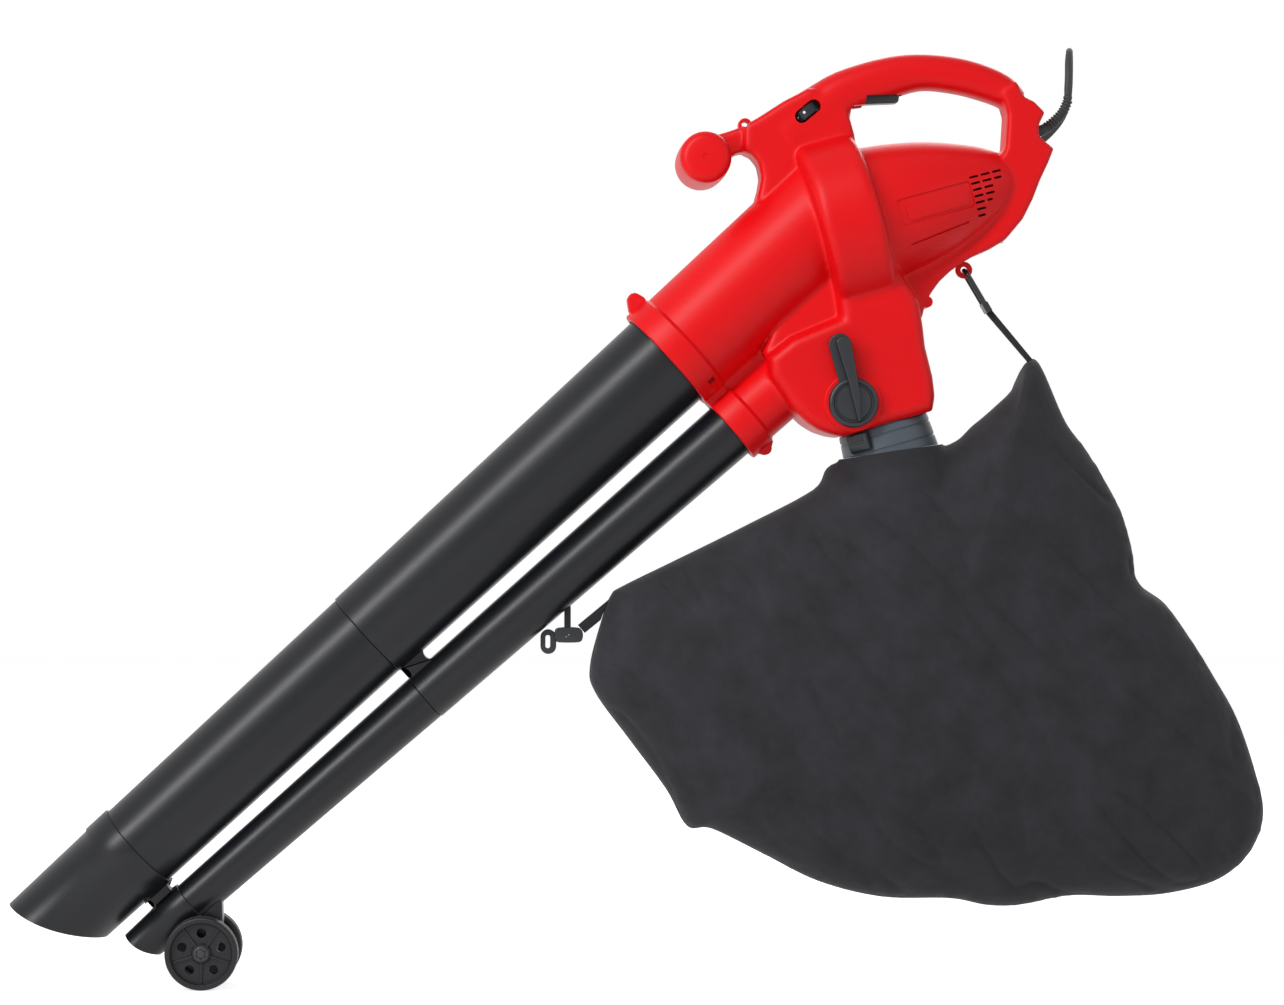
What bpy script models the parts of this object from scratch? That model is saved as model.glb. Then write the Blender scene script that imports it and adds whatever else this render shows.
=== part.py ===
# Hand-held leaf blower vacuum: two tubes on wheels, a split motor housing with a grip,
# a mode lever, and a collecting bag.
# Every size is in millimetres and MM turns it into metres. The origin is in the grip,
# X runs to the rear, Y to the user's right and Z up, and the machine is held as in use.

import math

import bmesh
import bpy
from mathutils import Matrix, Vector

MM = 0.001
BEYOND = 600.0                  # reach of a cut that goes right through
GAP = 0.3                       # between pieces that touch
SPLIT_GAP = 0.3                 # between the two housing shells
WELD = 0.01                     # points closer than this become one

# Where the main axes lie: x, z of a point, and the rise in degrees
TUBE_MOUTH = (-250.8, -268.8)   # the suction tube's axis at the housing's front face
TUBE_RISE = 42.6
BLOWER_OFFSET = 89.7            # blower tube's axis below the suction tube's, at that face
BLOWER_TOE_IN = 1.45
FAN_CENTRE = (-81.2, -139.2)
FAN_RISE = 16.0
OUTLET_SHIFT = -16.5            # bag outlet's axis ahead of the fan's centre

# Tubes
TUBE_WALL = 2.5
BLOWER_WALL = 2.0
SOCKET_DEPTH = 35.0             # how far the tubes go into the housing
MID_JOINT = 384.0               # housing face to the joint of upper and lower tubes
SPIGOT = 30.0                   # lower tube inside the upper one
LOW_JOINT = 676.0               # housing face to the nozzle
LOW_SOCKET = 25.0
SUCTION_TOP = 49.1              # outer radii of the suction tube, from the housing down
SUCTION_MID = 45.9
SUCTION_BELOW = 44.6
SUCTION_LOW = 43.0
SUCTION_TIP = 42.0
BLOWER_TOP = 28.0               # and of the blower tube
BLOWER_MID = 24.0
BLOWER_BELOW = 23.4
BLOWER_LOW = 19.6
BLOWER_TIP = 17.2
SUCTION_LONG_SIDE = 125.0       # nozzle's start to the suction mouth's upper lip
SUCTION_SHORT_SIDE = 80.0       # and to its lower lip
BLOWER_LONG_SIDE = 67.0         # the same for the blower mouth
BLOWER_SHORT_SIDE = 55.0
SUCTION_MOUTH_BULGE = 6.0       # how far each mouth's edge bows out in its middle
BLOWER_MOUTH_BULGE = 3.5
WEB_LENGTH = 30.0
WEB_THICKNESS = 18.0

# Wheels under the nozzle
WHEEL_CENTRE = (-687.5, -824.6)
WHEEL_RADIUS = 34.2
WHEEL_WIDTH = 17.0
WHEEL_INSIDE = 20.9             # middle plane to a wheel's inner face
WHEEL_HOLES = 5
WHEEL_HOLE_RADIUS = 4.5
WHEEL_HOLE_CIRCLE = 19.0
WHEEL_RIM = 5.5
HUB_RADIUS = 9.0
BRACKET_THICKNESS = 24.0
AXLE_RADIUS = 4.0
CLIP_RADIUS = 7.0
CLIP_THICKNESS = 1.5

# Housing
WALL = 3.0
DUCT_RADIUS = 53.0
DUCT_LENGTH = 212.0
FLANGE_LENGTH = 24.0
FLANGE_STEP = 3.5
BLOWER_SOCKET_LENGTH = 110.0
FAN_CASE_RADIUS = 84.0
FAN_CASE_WIDTH = 57.0
BLOCK_THICKNESS = 94.0
NECK_END = 193.0                # fan's centre to the outlet's lower edge
NECK_BORE = 40.3
MOTOR_COVER = [(20, 68), (40, 66), (70, 61.5), (102, 53.5), (140, 39), (163, 25), (176, 11)]
MOTOR_COVER_END = 180.0
BULKHEAD = 5.5
BAND_THICKNESS = 44.0
COLUMN_THICKNESS = 46.0
ARM_THICKNESS = 32.0
GRIP_HALF_WIDTH = 20.0

# Fan and motor, measured along the shaft from the fan's centre
SHAFT_RADIUS = 5.0
SHAFT_FRONT = -28.0
SHAFT_REAR = 139.0
FAN_RADIUS = 74.0
FAN_HUB = 15.0
FAN_FRONT = -18.0
FAN_BACK = 13.0
FAN_PLATE = 3.0
FAN_BLADES = 9
BLADE_THICKNESS = 3.0
BLADE_CURL = 22.0               # how far inside the rim the blades bend
NUT_RADIUS = 9.0
NUT_LENGTH = 7.7
FRONT_BEARING_RADIUS = 13.0
REAR_BEARING_RADIUS = 11.0
BEARING_WIDTH = 8.0
STATOR_RADIUS = 42.0
STATOR_BORE = 23.0
STATOR_FRONT = 52.0
STATOR_LENGTH = 46.0
COIL_LENGTH = 7.0
AIR_GAP = 0.6
COMMUTATOR_RADIUS = 12.0
COMMUTATOR_LENGTH = 13.0
BRUSH_RING = 7.0

# Controls
LEVER_CENTRE = (-77.9, -309.7)
LEVER_DISC = 23.3
LEVER_LENGTH = 56.0
LEVER_LEAN = 13.0               # degrees ahead of upright
LEVER_SHAFT = 4.0
FLAP_SEAT = 41.0                # middle plane to the bosses beside the flap
FLAP_LENGTH = 69.0
FLAP_THICKNESS = 3.0
TRIGGER_PIVOT = (-70.5, -17.5)
TRIGGER_THICKNESS = 15.0
TRIGGER_PIN = 1.5
PIN_HALF = 13.0                 # half the trigger pin's length
SWITCH_HALF = 8.0               # half the switch's width
DIAL_CENTRE = (-117.8, -33.2)
DIAL_DEPTH = -13.7
DIAL_RADIUS = 12.0
DIAL_WIDTH = 10.0
DIAL_LEAN = 40.0
EYE_CENTRE = (-175.8, -44.6)
EYE_RADIUS = 6.5
EYE_HOLE = 3.3
KNOB_CENTRE = (-215.6, -78.8)
KNOB_RADIUS = 25.0
KNOB_LENGTH = 92.0
REAR_EYE = (34.0, -181.5)
SCREW_RADIUS = 2.0
BOSS_RADIUS = 5.5
SCREW_HEAD = 3.6

# Bag
COLLAR_TOP = 43.2
COLLAR_END = 46.0
COLLAR_DROP = 26.5
COLLAR_SLANT = 7.5              # degrees between the collar's two ends
BAG_HALF_DEPTH = 80.0
LATCH_TURN = 40.0               # degrees round the collar from its left side
LATCH_WIDTH = 22.0

HOOK_PIN = (-344.4, -529.8)
HOOK_PIN_RADIUS = 1.5
HOOK_LUG_WIDTH = 6.2
HOOK_LUG_THICKNESS = 4.4
HOOK_WIDTH = 10.0
REAR_LINK = (45.0, -200.0)
REAR_LINK_SIZE = (42.0, 16.0)
REAR_LINK_WIRE = 2.2
STRAP_THICKNESS = 4.0

# Mains lead
CORD_RADIUS = 3.3
BOOT_RADIUS = 5.6
PLUG_RADIUS = 18.5

# Outlines: x, z from the grip for the pieces in the middle plane
HANDLE = [
    (-137.8, -57.0, 29.3, 24.0), (-101.6, -29.0, 24.9, 24.0), (-77.9, -12.4, 21.7, 22.5),
    (-37.5, 1.4, 19.8, 21.0), (-6.6, 6.7, 17.3, GRIP_HALF_WIDTH), (28.5, 3.3, 17.1, GRIP_HALF_WIDTH),
    (55.6, -4.3, 16.4, GRIP_HALF_WIDTH), (72.5, -12.0, 15.0, GRIP_HALF_WIDTH), (84.0, -22.0, 12.0, 19.0),
]
REAR_BAND = [
    (81.7, -1.9), (88.3, -17.1), (98.8, -21.8), (109.2, -32.3), (103.5, -43.7), (103.5, -55.1),
    (117.8, -66.5), (112.5, -80.0), (104.5, -97.0), (97.5, -115.0), (88.0, -134.0), (71.2, -153.9),
    (56.0, -163.0), (41.8, -169.1), (29.5, -176.0), (18.1, -184.3), (8.0, -194.0), (0.0, -205.2),
    (-5.5, -216.0), (-8.5, -228.9), (-30.0, -225.0), (-30.0, -185.0), (18.0, -135.0), (52.0, -100.0),
    (71.2, -66.5), (73.1, -34.2), (66.0, -12.0),
]
COLUMN = [
    (-178.0, -46.0), (-166.2, -39.9), (-140.0, -23.0), (-115.9, -10.5), (-84.0, -18.0), (-78.0, -36.0),
    (-72.5, -55.0), (-70.0, -76.0), (-95.0, -144.4), (-133.0, -153.9), (-153.9, -130.2), (-166.2, -115.9),
    (-163.4, -106.4), (-161.5, -95.0), (-164.0, -82.6), (-170.5, -74.5), (-178.6, -71.2),
]
ARM = [
    (-219.0, -85.0), (-219.0, -66.0), (-206.0, -55.5), (-192.0, -51.5), (-176.0, -45.5), (-160.0, -38.0),
    (-158.0, -80.0), (-170.5, -74.5), (-178.6, -71.2), (-186.0, -73.0), (-192.0, -78.5), (-204.0, -85.0),
]
# x along the shaft and z across it, from the fan's centre
BLOCK = [
    (-60.0, -40.0), (30.0, -40.0), (44.0, -90.0), (41.0, -115.0), (38.0, -132.0), (37.0, -162.0),
    (34.0, -180.0), (28.0, -NECK_END), (-60.5, -NECK_END), (-71.0, -188.0), (-81.0, -181.0), (-90.0, -171.0),
    (-98.0, -157.0), (-104.0, -140.0), (-112.0, -120.0), (-112.0, -95.0),
]
BLOCK_HOLLOW = [
    (-20.0, -60.0), (20.0, -60.0), (25.0, -84.0), (37.0, -108.0), (34.0, -131.0), (33.0, -163.0),
    (30.0, -180.0), (24.0, -189.0), (-56.0, -189.0), (-68.0, -184.5), (-77.0, -177.5), (-86.0, -167.0),
    (-93.0, -154.0), (-98.5, -138.0), (-104.0, -118.0), (-104.0, -96.0), (-63.0, -71.0), (-42.0, -64.0),
]
BAG = [
    (-86.5, -364.5), (-110.2, -391.0), (-175.8, -425.6), (-237.5, -456.0), (-292.0, -482.6),
    (-303.1, -491.1), (-311.6, -513.0), (-323.0, -557.6), (-318.2, -583.3), (-285.9, -627.9),
    (-250.8, -675.4), (-230.8, -710.6), (-207.1, -713.4), (-158.7, -737.2), (-105.4, -763.8),
    (-44.6, -779.0), (20.9, -780.9), (56.0, -787.5), (87.4, -787.5), (134.9, -779.0),
    (183.3, -779.9), (231.8, -777.1), (280.2, -763.8), (310.6, -737.2), (323.0, -702.0),
    (315.4, -662.1), (297.3, -609.9), (275.5, -570.9), (253.6, -535.8), (228.0, -500.6),
    (201.4, -478.8), (194.8, -443.6), (181.4, -403.8), (152.9, -355.3), (131.1, -324.9),
    (106.4, -270.5), (93.1, -270.5), (87.4, -285.0), (79.8, -296.5), (69.3, -306.9),
    (43.7, -328.9), (12.0, -350.5),
]
BAG_MIDDLE = (0.0, -570.0)

# The lead: out of the boot, up, over to the user's right, and down behind the housing
CORD_ROUTE = [
    (134.0, 0.0, -14.5), (134.0, 0.0, -7.5), (134.8, 1.5, 4.0), (136.0, 7.5, 18.0),
    (138.8, 18.3, 28.4), (141.7, 33.0, 32.5), (144.5, 47.5, 28.0), (146.3, 57.5, 17.0),
    (146.7, 62.0, 2.0), (145.2, 63.5, -13.0), (139.9, 63.5, -28.0), (129.3, 63.0, -42.0),
    (115.0, 62.0, -54.5), (100.0, 61.0, -66.0), (84.0, 60.0, -78.0), (74.0, 59.0, -89.0),
    (70.0, 58.5, -97.0), (70.0, 58.5, -104.0),
]
BOOT_ROUTE = [
    (104.0, 0.0, -49.5, BOOT_RADIUS), (112.5, 0.0, -45.8, 5.4), (121.0, 0.0, -39.2, 5.2),
    (128.5, 0.0, -31.0, 5.0), (132.8, 0.0, -22.5, 4.9), (134.0, 0.0, -18.5, 4.8), (134.0, 0.0, -14.8, 4.8),
]

COLOURS = {
    "red_shell": ((0.60, 0.006, 0.010), 0.32, 0.0),
    "tube_plastic": ((0.024, 0.025, 0.029), 0.42, 0.0),
    "dark_plastic": ((0.030, 0.032, 0.036), 0.45, 0.0),
    "collar_plastic": ((0.075, 0.090, 0.110), 0.45, 0.0),
    "bag_fabric": ((0.030, 0.030, 0.034), 0.90, 0.0),
    "webbing": ((0.020, 0.020, 0.022), 0.85, 0.0),
    "steel": ((0.55, 0.56, 0.58), 0.30, 1.0),
    "copper": ((0.72, 0.34, 0.16), 0.35, 1.0),
    "rubber": ((0.018, 0.018, 0.020), 0.75, 0.0),
    "fan_plastic": ((0.050, 0.050, 0.055), 0.50, 0.0),
    "carbon": ((0.020, 0.020, 0.020), 0.60, 0.0),
}


def clear_scene():
    for old in list(bpy.data.objects):
        bpy.data.objects.remove(old, do_unlink=True)


def material(slot):
    found = bpy.data.materials.get(slot)
    if found:
        return found
    colour, roughness, metallic = COLOURS[slot]
    made = bpy.data.materials.new(slot)
    made.use_nodes = True
    shader = made.node_tree.nodes["Principled BSDF"]
    shader.inputs["Base Color"].default_value = (*colour, 1.0)
    shader.inputs["Roughness"].default_value = roughness
    shader.inputs["Metallic"].default_value = metallic
    return made


# Frames

def frame(point, rise=0.0):
    """A frame at x, z in the middle plane, its X axis raised by rise degrees."""
    place = Matrix.Translation((point[0] * MM, 0.0, point[1] * MM))
    return place @ Matrix.Rotation(-math.radians(rise), 4, "Y")


def across(point, y=0.0):
    """A frame at x, z whose X axis runs along the machine's Y axis."""
    place = Matrix.Translation((point[0] * MM, y * MM, point[1] * MM))
    return place @ Matrix.Rotation(math.radians(90.0), 4, "Z")


MIDDLE = frame((0.0, 0.0))
SUCTION = frame(TUBE_MOUTH, 180.0 + TUBE_RISE)              # X down the tube, Z to the blower tube
BLOWER = SUCTION @ frame((0.0, BLOWER_OFFSET), -BLOWER_TOE_IN)
FAN = frame(FAN_CENTRE, FAN_RISE)                           # X along the shaft to the rear
OUTLET = FAN @ frame((OUTLET_SHIFT, 0.0), -90.0)            # X down into the bag


# Shapes: each is an object with its place in its own matrix

def new_object(name, bm, place):
    bmesh.ops.recalc_face_normals(bm, faces=bm.faces)
    mesh = bpy.data.meshes.new(name)
    bm.to_mesh(mesh)
    bm.free()
    made = bpy.data.objects.new(name, mesh)
    made.matrix_world = place
    bpy.context.scene.collection.objects.link(made)
    return made


def turned(profile, place, steps=32, name="shape"):
    """Spins (along X, radius) points: a closed loop round a bore, or a line with its ends on the axis."""
    bm = bmesh.new()
    points = [bm.verts.new((along * MM, 0.0, radius * MM)) for along, radius in profile]
    edges = [bm.edges.new(pair) for pair in zip(points, points[1:])]
    if profile[0][1] > 0.0:
        edges.append(bm.edges.new((points[-1], points[0])))
    bmesh.ops.spin(
        bm, geom=points + edges, axis=(1.0, 0.0, 0.0), cent=(0.0, 0.0, 0.0),
        angle=math.tau, steps=steps, use_merge=True,
    )
    bmesh.ops.remove_doubles(bm, verts=bm.verts, dist=1e-6)
    return new_object(name, bm, place)


def rod(radius, start, end, place, steps=16, name="shape"):
    return turned([(start, 0.0), (start, radius), (end, radius), (end, 0.0)], place, steps, name)


def ring(bore, radius, start, end, place, steps=24, name="shape"):
    return turned([(start, bore), (start, radius), (end, radius), (end, bore)], place, steps, name)


def plate(outline, low, high, place, rounding=0.0, segments=2, name="shape"):
    """An outline in the frame's X and Z, from low to high along Y, with its rims rounded."""
    bm = bmesh.new()
    face = bm.faces.new([bm.verts.new((x * MM, low * MM, z * MM)) for x, z in outline])
    made = bmesh.ops.extrude_face_region(bm, geom=[face])
    moved = [part for part in made["geom"] if isinstance(part, bmesh.types.BMVert)]
    bmesh.ops.translate(bm, verts=moved, vec=(0.0, (high - low) * MM, 0.0))
    if rounding:
        rims = [e for e in bm.edges if abs(e.verts[0].co.y - e.verts[1].co.y) < 1e-7]
        bmesh.ops.bevel(
            bm, geom=rims, offset=rounding * MM, segments=segments, profile=0.5,
            affect="EDGES", clamp_overlap=True,
        )
    return new_object(name, bm, place)


def box(x, y, z, place, name="shape"):
    """A block between the two values given for each axis."""
    corners = [(x[0], z[0]), (x[1], z[0]), (x[1], z[1]), (x[0], z[1])]
    return plate(corners, y[0], y[1], place, name=name)


def lofted(stations, inset=0.0, sides=16, name="shape"):
    """Rounded sections square to a line in the middle plane: x, z, half height, half width."""
    bm = bmesh.new()
    loops = []
    last = len(stations) - 1
    for i, (x, z, half_height, half_width) in enumerate(stations):
        before, after = stations[max(i - 1, 0)], stations[min(i + 1, last)]
        run = Vector((after[0] - before[0], 0.0, after[1] - before[1])).normalized()
        up = Vector((-run.z, 0.0, run.x))
        loop = []
        for k in range(sides):
            turn = math.tau * k / sides
            rise, side = math.cos(turn), math.sin(turn)
            rise = math.copysign(abs(rise) ** 0.8, rise) * (half_height - inset)
            side = math.copysign(abs(side) ** 0.8, side) * (half_width - inset)
            loop.append(bm.verts.new((Vector((x, side, z)) + up * rise) * MM))
        loops.append(loop)
    for one, two in zip(loops, loops[1:]):
        for k in range(sides):
            bm.faces.new((one[k], one[k - 1], two[k - 1], two[k]))
    bm.faces.new(loops[0])
    bm.faces.new(loops[-1])
    return new_object(name, bm, MIDDLE)


def arc(centre, radius, start, end, count):
    """Points on a circle, from one angle to another in degrees."""
    angles = [math.radians(start + (end - start) * k / (count - 1)) for k in range(count)]
    return [(centre[0] + radius * math.cos(a), centre[1] + radius * math.sin(a)) for a in angles]


def inset(outline, distance):
    """The outline drawn in by a distance, corner by corner."""
    points = [Vector(p) for p in outline]
    area = sum(a.x * b.y - b.x * a.y for a, b in zip(points, points[1:] + points[:1]))
    turn = 1.0 if area > 0.0 else -1.0
    drawn = []
    for before, here, after in zip(points[-1:] + points[:-1], points, points[1:] + points[:1]):
        first, second = (here - before).normalized(), (after - here).normalized()
        inward = Vector((-first.y - second.y, first.x + second.x)) * turn
        inward = inward / (1.0 + first.dot(second))
        drawn.append(tuple(here + inward * distance))
    return drawn


def smooth(points, spacing):
    """Points at an even spacing on a smooth curve through the given ones."""
    ends = [Vector(p) for p in points]
    padded = [ends[0] * 2 - ends[1]] + ends + [ends[-1] * 2 - ends[-2]]
    dense = []
    for a, b, c, d in zip(padded, padded[1:], padded[2:], padded[3:]):
        for k in range(20):
            t = k / 20
            second = (2 * a - 5 * b + 4 * c - d) * t ** 2
            third = (3 * b - a - 3 * c + d) * t ** 3
            dense.append((2 * b + (c - a) * t + second + third) / 2)
    dense.append(ends[-1])
    runs = [0.0]
    for one, two in zip(dense, dense[1:]):
        runs.append(runs[-1] + (two - one).length)
    count = max(2, round(runs[-1] / spacing))
    even = []
    place = 0
    for k in range(count + 1):
        target = runs[-1] * k / count
        while place < len(dense) - 2 and runs[place + 1] < target:
            place += 1
        share = (target - runs[place]) / max(runs[place + 1] - runs[place], 1e-9)
        even.append(dense[place].lerp(dense[place + 1], min(share, 1.0)))
    return even


def tube(points, radius, name, closed=False, sides=2):
    """A curve object through points, with a radius at each if they have a fourth value."""
    curve = bpy.data.curves.new(name, "CURVE")
    curve.dimensions = "3D"
    curve.bevel_depth = radius * MM
    curve.bevel_resolution = sides
    curve.use_fill_caps = True
    spline = curve.splines.new("POLY")
    spline.points.add(len(points) - 1)
    for target, point in zip(spline.points, points):
        target.co = (point[0] * MM, point[1] * MM, point[2] * MM, 1.0)
        target.radius = point[3] / radius if len(point) > 3 else 1.0
    spline.use_cyclic_u = closed
    made = bpy.data.objects.new(name, curve)
    bpy.context.scene.collection.objects.link(made)
    return made


def weld(mesh):
    """Merges points that all but coincide and drops the slivers between them."""
    bm = bmesh.new()
    bm.from_mesh(mesh)
    bmesh.ops.remove_doubles(bm, verts=bm.verts, dist=WELD * MM)
    bmesh.ops.dissolve_degenerate(bm, edges=bm.edges, dist=WELD * MM)
    bmesh.ops.dissolve_limit(bm, angle_limit=math.radians(0.1), verts=bm.verts, edges=bm.edges)
    bm.to_mesh(mesh)
    bm.free()


def boolean(target, operation, others):
    """Joins to the target, or cuts from it, all the other shapes at once."""
    group = bpy.data.collections.new("operands")
    for other in others:
        group.objects.link(other)
    modifier = target.modifiers.new(operation.lower(), "BOOLEAN")
    modifier.operation = operation
    modifier.operand_type = "COLLECTION"
    modifier.collection = group
    bpy.context.view_layer.update()
    evaluated = target.evaluated_get(bpy.context.evaluated_depsgraph_get())
    result = bpy.data.meshes.new_from_object(evaluated)
    target.modifiers.clear()
    target.data = result
    weld(result)
    for other in others:
        bpy.data.objects.remove(other, do_unlink=True)
    bpy.data.collections.remove(group)
    return target


def join(target, *others):
    return boolean(target, "UNION", others)


def cut(target, *others):
    return boolean(target, "DIFFERENCE", others)


def copied(shape):
    made = shape.copy()
    made.data = shape.data.copy()
    bpy.context.scene.collection.objects.link(made)
    return made


def pivoted(shape, place):
    """Moves a shape's origin to the frame of the joint that it turns on."""
    shape.data.transform(place.inverted() @ shape.matrix_world)
    shape.matrix_world = place
    return shape


def finished(shape, name, slot, sharp=35.0):
    """Names a shape, gives it its material and shades its round faces smooth."""
    shape.name = name
    shape.data.name = name
    shape.data.materials.clear()
    shape.data.materials.append(material(slot))
    if shape.type == "MESH":
        shape.data.shade_smooth()
        shape.data.set_sharp_from_angle(angle=math.radians(sharp))
    return shape


def between(value, start, end):
    """A straight change of size: value at the given share of the way from start to end."""
    return start + (end - start) * value


# Tubes and nozzle

def suction_upper_radius(s):
    return between(s / MID_JOINT, SUCTION_TOP, SUCTION_MID)


def suction_lower_radius(s):
    return between((s - MID_JOINT) / (LOW_JOINT - MID_JOINT), SUCTION_BELOW, SUCTION_LOW)


def blower_upper_radius(s):
    return between(s / MID_JOINT, BLOWER_TOP, BLOWER_MID)


def blower_lower_radius(s):
    return between((s - MID_JOINT) / (LOW_JOINT - MID_JOINT), BLOWER_BELOW, BLOWER_LOW)


def blower_axis_depth(s):
    """The blower tube's axis below the suction tube's, at a distance down the tube."""
    return BLOWER_OFFSET - s * math.tan(math.radians(BLOWER_TOE_IN))


def web(start):
    """The plate that joins the two tubes, with its ends hollowed round as the slots end."""
    low = SUCTION_LOW - 4.0
    high = blower_axis_depth(start) - BLOWER_LOW + 4.0
    middle = (low + high) / 2
    bite = 4.0
    end = start + WEB_LENGTH
    outline = [
        (start, low), (start, middle - 7.0), (start + bite, middle - 4.0), (start + bite, middle + 4.0),
        (start, middle + 7.0), (start, high), (end, high), (end, middle + 7.0),
        (end - bite, middle + 4.0), (end - bite, middle - 4.0), (end, middle - 7.0), (end, low),
    ]
    return plate(outline, -WEB_THICKNESS / 2, WEB_THICKNESS / 2, SUCTION)


def hook_lug():
    """The tab under the blower tube that carries the front strap's hook on a pin."""
    x, z = HOOK_PIN
    half = HOOK_LUG_WIDTH / 2
    outline = [(x - half, z + 48.0)] + arc(HOOK_PIN, half, 180.0, 360.0, 7) + [(x + half, z + 48.0)]
    return plate(outline, -HOOK_LUG_THICKNESS / 2, HOOK_LUG_THICKNESS / 2, MIDDLE)


def twin_tube_upper():
    top = -SOCKET_DEPTH + GAP
    wide = suction_upper_radius(top)
    narrow = blower_upper_radius(top)
    body = turned([(top, 0.0), (top, wide), (MID_JOINT, SUCTION_MID), (MID_JOINT, 0.0)], SUCTION, 32)
    small = turned([(top, 0.0), (top, narrow), (MID_JOINT, BLOWER_MID), (MID_JOINT, 0.0)], BLOWER, 24)
    lug_hole = rod(HOOK_PIN_RADIUS + GAP, -9.0, 9.0, across(HOOK_PIN), 12)
    join(body, small, web(MID_JOINT - WEB_LENGTH - 1.5), hook_lug())
    far = MID_JOINT + 1.0
    bore = turned(
        [(top - 1.0, 0.0), (top - 1.0, wide - TUBE_WALL), (far, SUCTION_MID - TUBE_WALL), (far, 0.0)],
        SUCTION, 32)
    small_bore = turned(
        [(top - 1.0, 0.0), (top - 1.0, narrow - BLOWER_WALL), (far, BLOWER_MID - BLOWER_WALL), (far, 0.0)],
        BLOWER, 24)
    cut(body, bore, small_bore, lug_hole)
    finished(body, "twin_tube_upper", "tube_plastic")


def lower_tube(name, place, fit_radius, radius_at, wall, steps):
    """A tube with a spigot at the top and a plain end in the nozzle's socket."""
    start = MID_JOINT - SPIGOT
    end = LOW_JOINT + LOW_SOCKET - GAP
    spigot = fit_radius - GAP
    top = radius_at(MID_JOINT)
    low = radius_at(LOW_JOINT)
    profile = [
        (start, spigot), (MID_JOINT + GAP, spigot), (MID_JOINT + GAP, top), (LOW_JOINT, low), (end, low),
        (end, low - wall), (LOW_JOINT, low - wall), (MID_JOINT + 8.0, top - wall), (MID_JOINT, spigot - wall),
        (start, spigot - wall),
    ]
    finished(turned(profile, place, steps), name, "tube_plastic")


def mouth_cutter(long_side, short_side, bulge, radius, place):
    """A wedge that trims a mouth aslant in a gentle bow: its upper lip is the long one."""
    slope = (long_side - short_side) / (2 * radius)
    half_way = LOW_JOINT + (long_side + short_side) / 2
    edge = []
    for k in range(13):
        q = radius * between(k / 12, -2.0, 2.0)
        bow = bulge * max(1.0 - (q / radius) ** 2, -1.0)
        edge.append((half_way - slope * q + bow, q))
    far = half_way + BEYOND
    return plate(edge + [(far, radius * 2.0), (far, -radius * 2.0)], -radius * 2.0, radius * 2.0, place)


def nozzle():
    socket = SUCTION_LOW + GAP
    small_socket = BLOWER_LOW + GAP
    step = LOW_JOINT + LOW_SOCKET
    long_end = LOW_JOINT + SUCTION_LONG_SIDE + 12.0
    small_end = LOW_JOINT + BLOWER_LONG_SIDE + 12.0
    body = turned(
        [(LOW_JOINT, 0.0), (LOW_JOINT, socket + 2.0), (step, socket + 2.0), (step + 2.5, SUCTION_LOW + 0.6),
         (long_end, SUCTION_TIP), (long_end, 0.0)], SUCTION, 32)
    cut(body, mouth_cutter(SUCTION_LONG_SIDE, SUCTION_SHORT_SIDE, SUCTION_MOUTH_BULGE, SUCTION_TIP, SUCTION))
    small = turned(
        [(LOW_JOINT, 0.0), (LOW_JOINT, small_socket + 1.8), (step, small_socket + 1.8),
         (step + 3.0, BLOWER_LOW), (small_end, BLOWER_TIP), (small_end, 0.0)], BLOWER, 24)
    cut(small, mouth_cutter(BLOWER_LONG_SIDE, BLOWER_SHORT_SIDE, BLOWER_MOUTH_BULGE, BLOWER_TIP, BLOWER))
    x, z = WHEEL_CENTRE
    boss = arc(WHEEL_CENTRE, 13.0, 0.0, -180.0, 9)
    bracket_outline = [(x + 17.5, z + 54.0), (x + 18.5, z + 26.0)] + boss
    bracket_outline += [(x - 22.0, z + 30.0), (x - 12.0, z + 54.0)]
    half = BRACKET_THICKNESS / 2
    bracket = plate(bracket_outline, -half, half, MIDDLE, rounding=2.0, segments=1)
    boss_half = WHEEL_INSIDE - GAP
    hub = rod(11.0, -boss_half, boss_half, across(WHEEL_CENTRE), 20)
    join(body, small, web(LOW_JOINT + 0.5), bracket, hub)
    far = long_end + 2.0
    bore = turned(
        [(LOW_JOINT - 6.0, 0.0), (LOW_JOINT - 6.0, socket), (step, socket), (step, SUCTION_LOW - TUBE_WALL),
         (far, SUCTION_TIP - TUBE_WALL), (far, 0.0)], SUCTION, 32)
    small_far = small_end + 2.0
    small_bore = turned(
        [(LOW_JOINT - 6.0, 0.0), (LOW_JOINT - 6.0, small_socket), (step, small_socket),
         (step, BLOWER_LOW - BLOWER_WALL), (small_far, BLOWER_TIP - BLOWER_WALL), (small_far, 0.0)],
        BLOWER, 24)
    axle_hole = rod(AXLE_RADIUS + GAP, -boss_half - 2.0, boss_half + 2.0, across(WHEEL_CENTRE), 20)
    tube_room = rod(blower_lower_radius(LOW_JOINT - 50.0) + GAP, LOW_JOINT - 70.0, LOW_JOINT, BLOWER, 24)
    cut(body, bore, small_bore, axle_hole, tube_room)
    finished(body, "nozzle", "tube_plastic")


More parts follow.
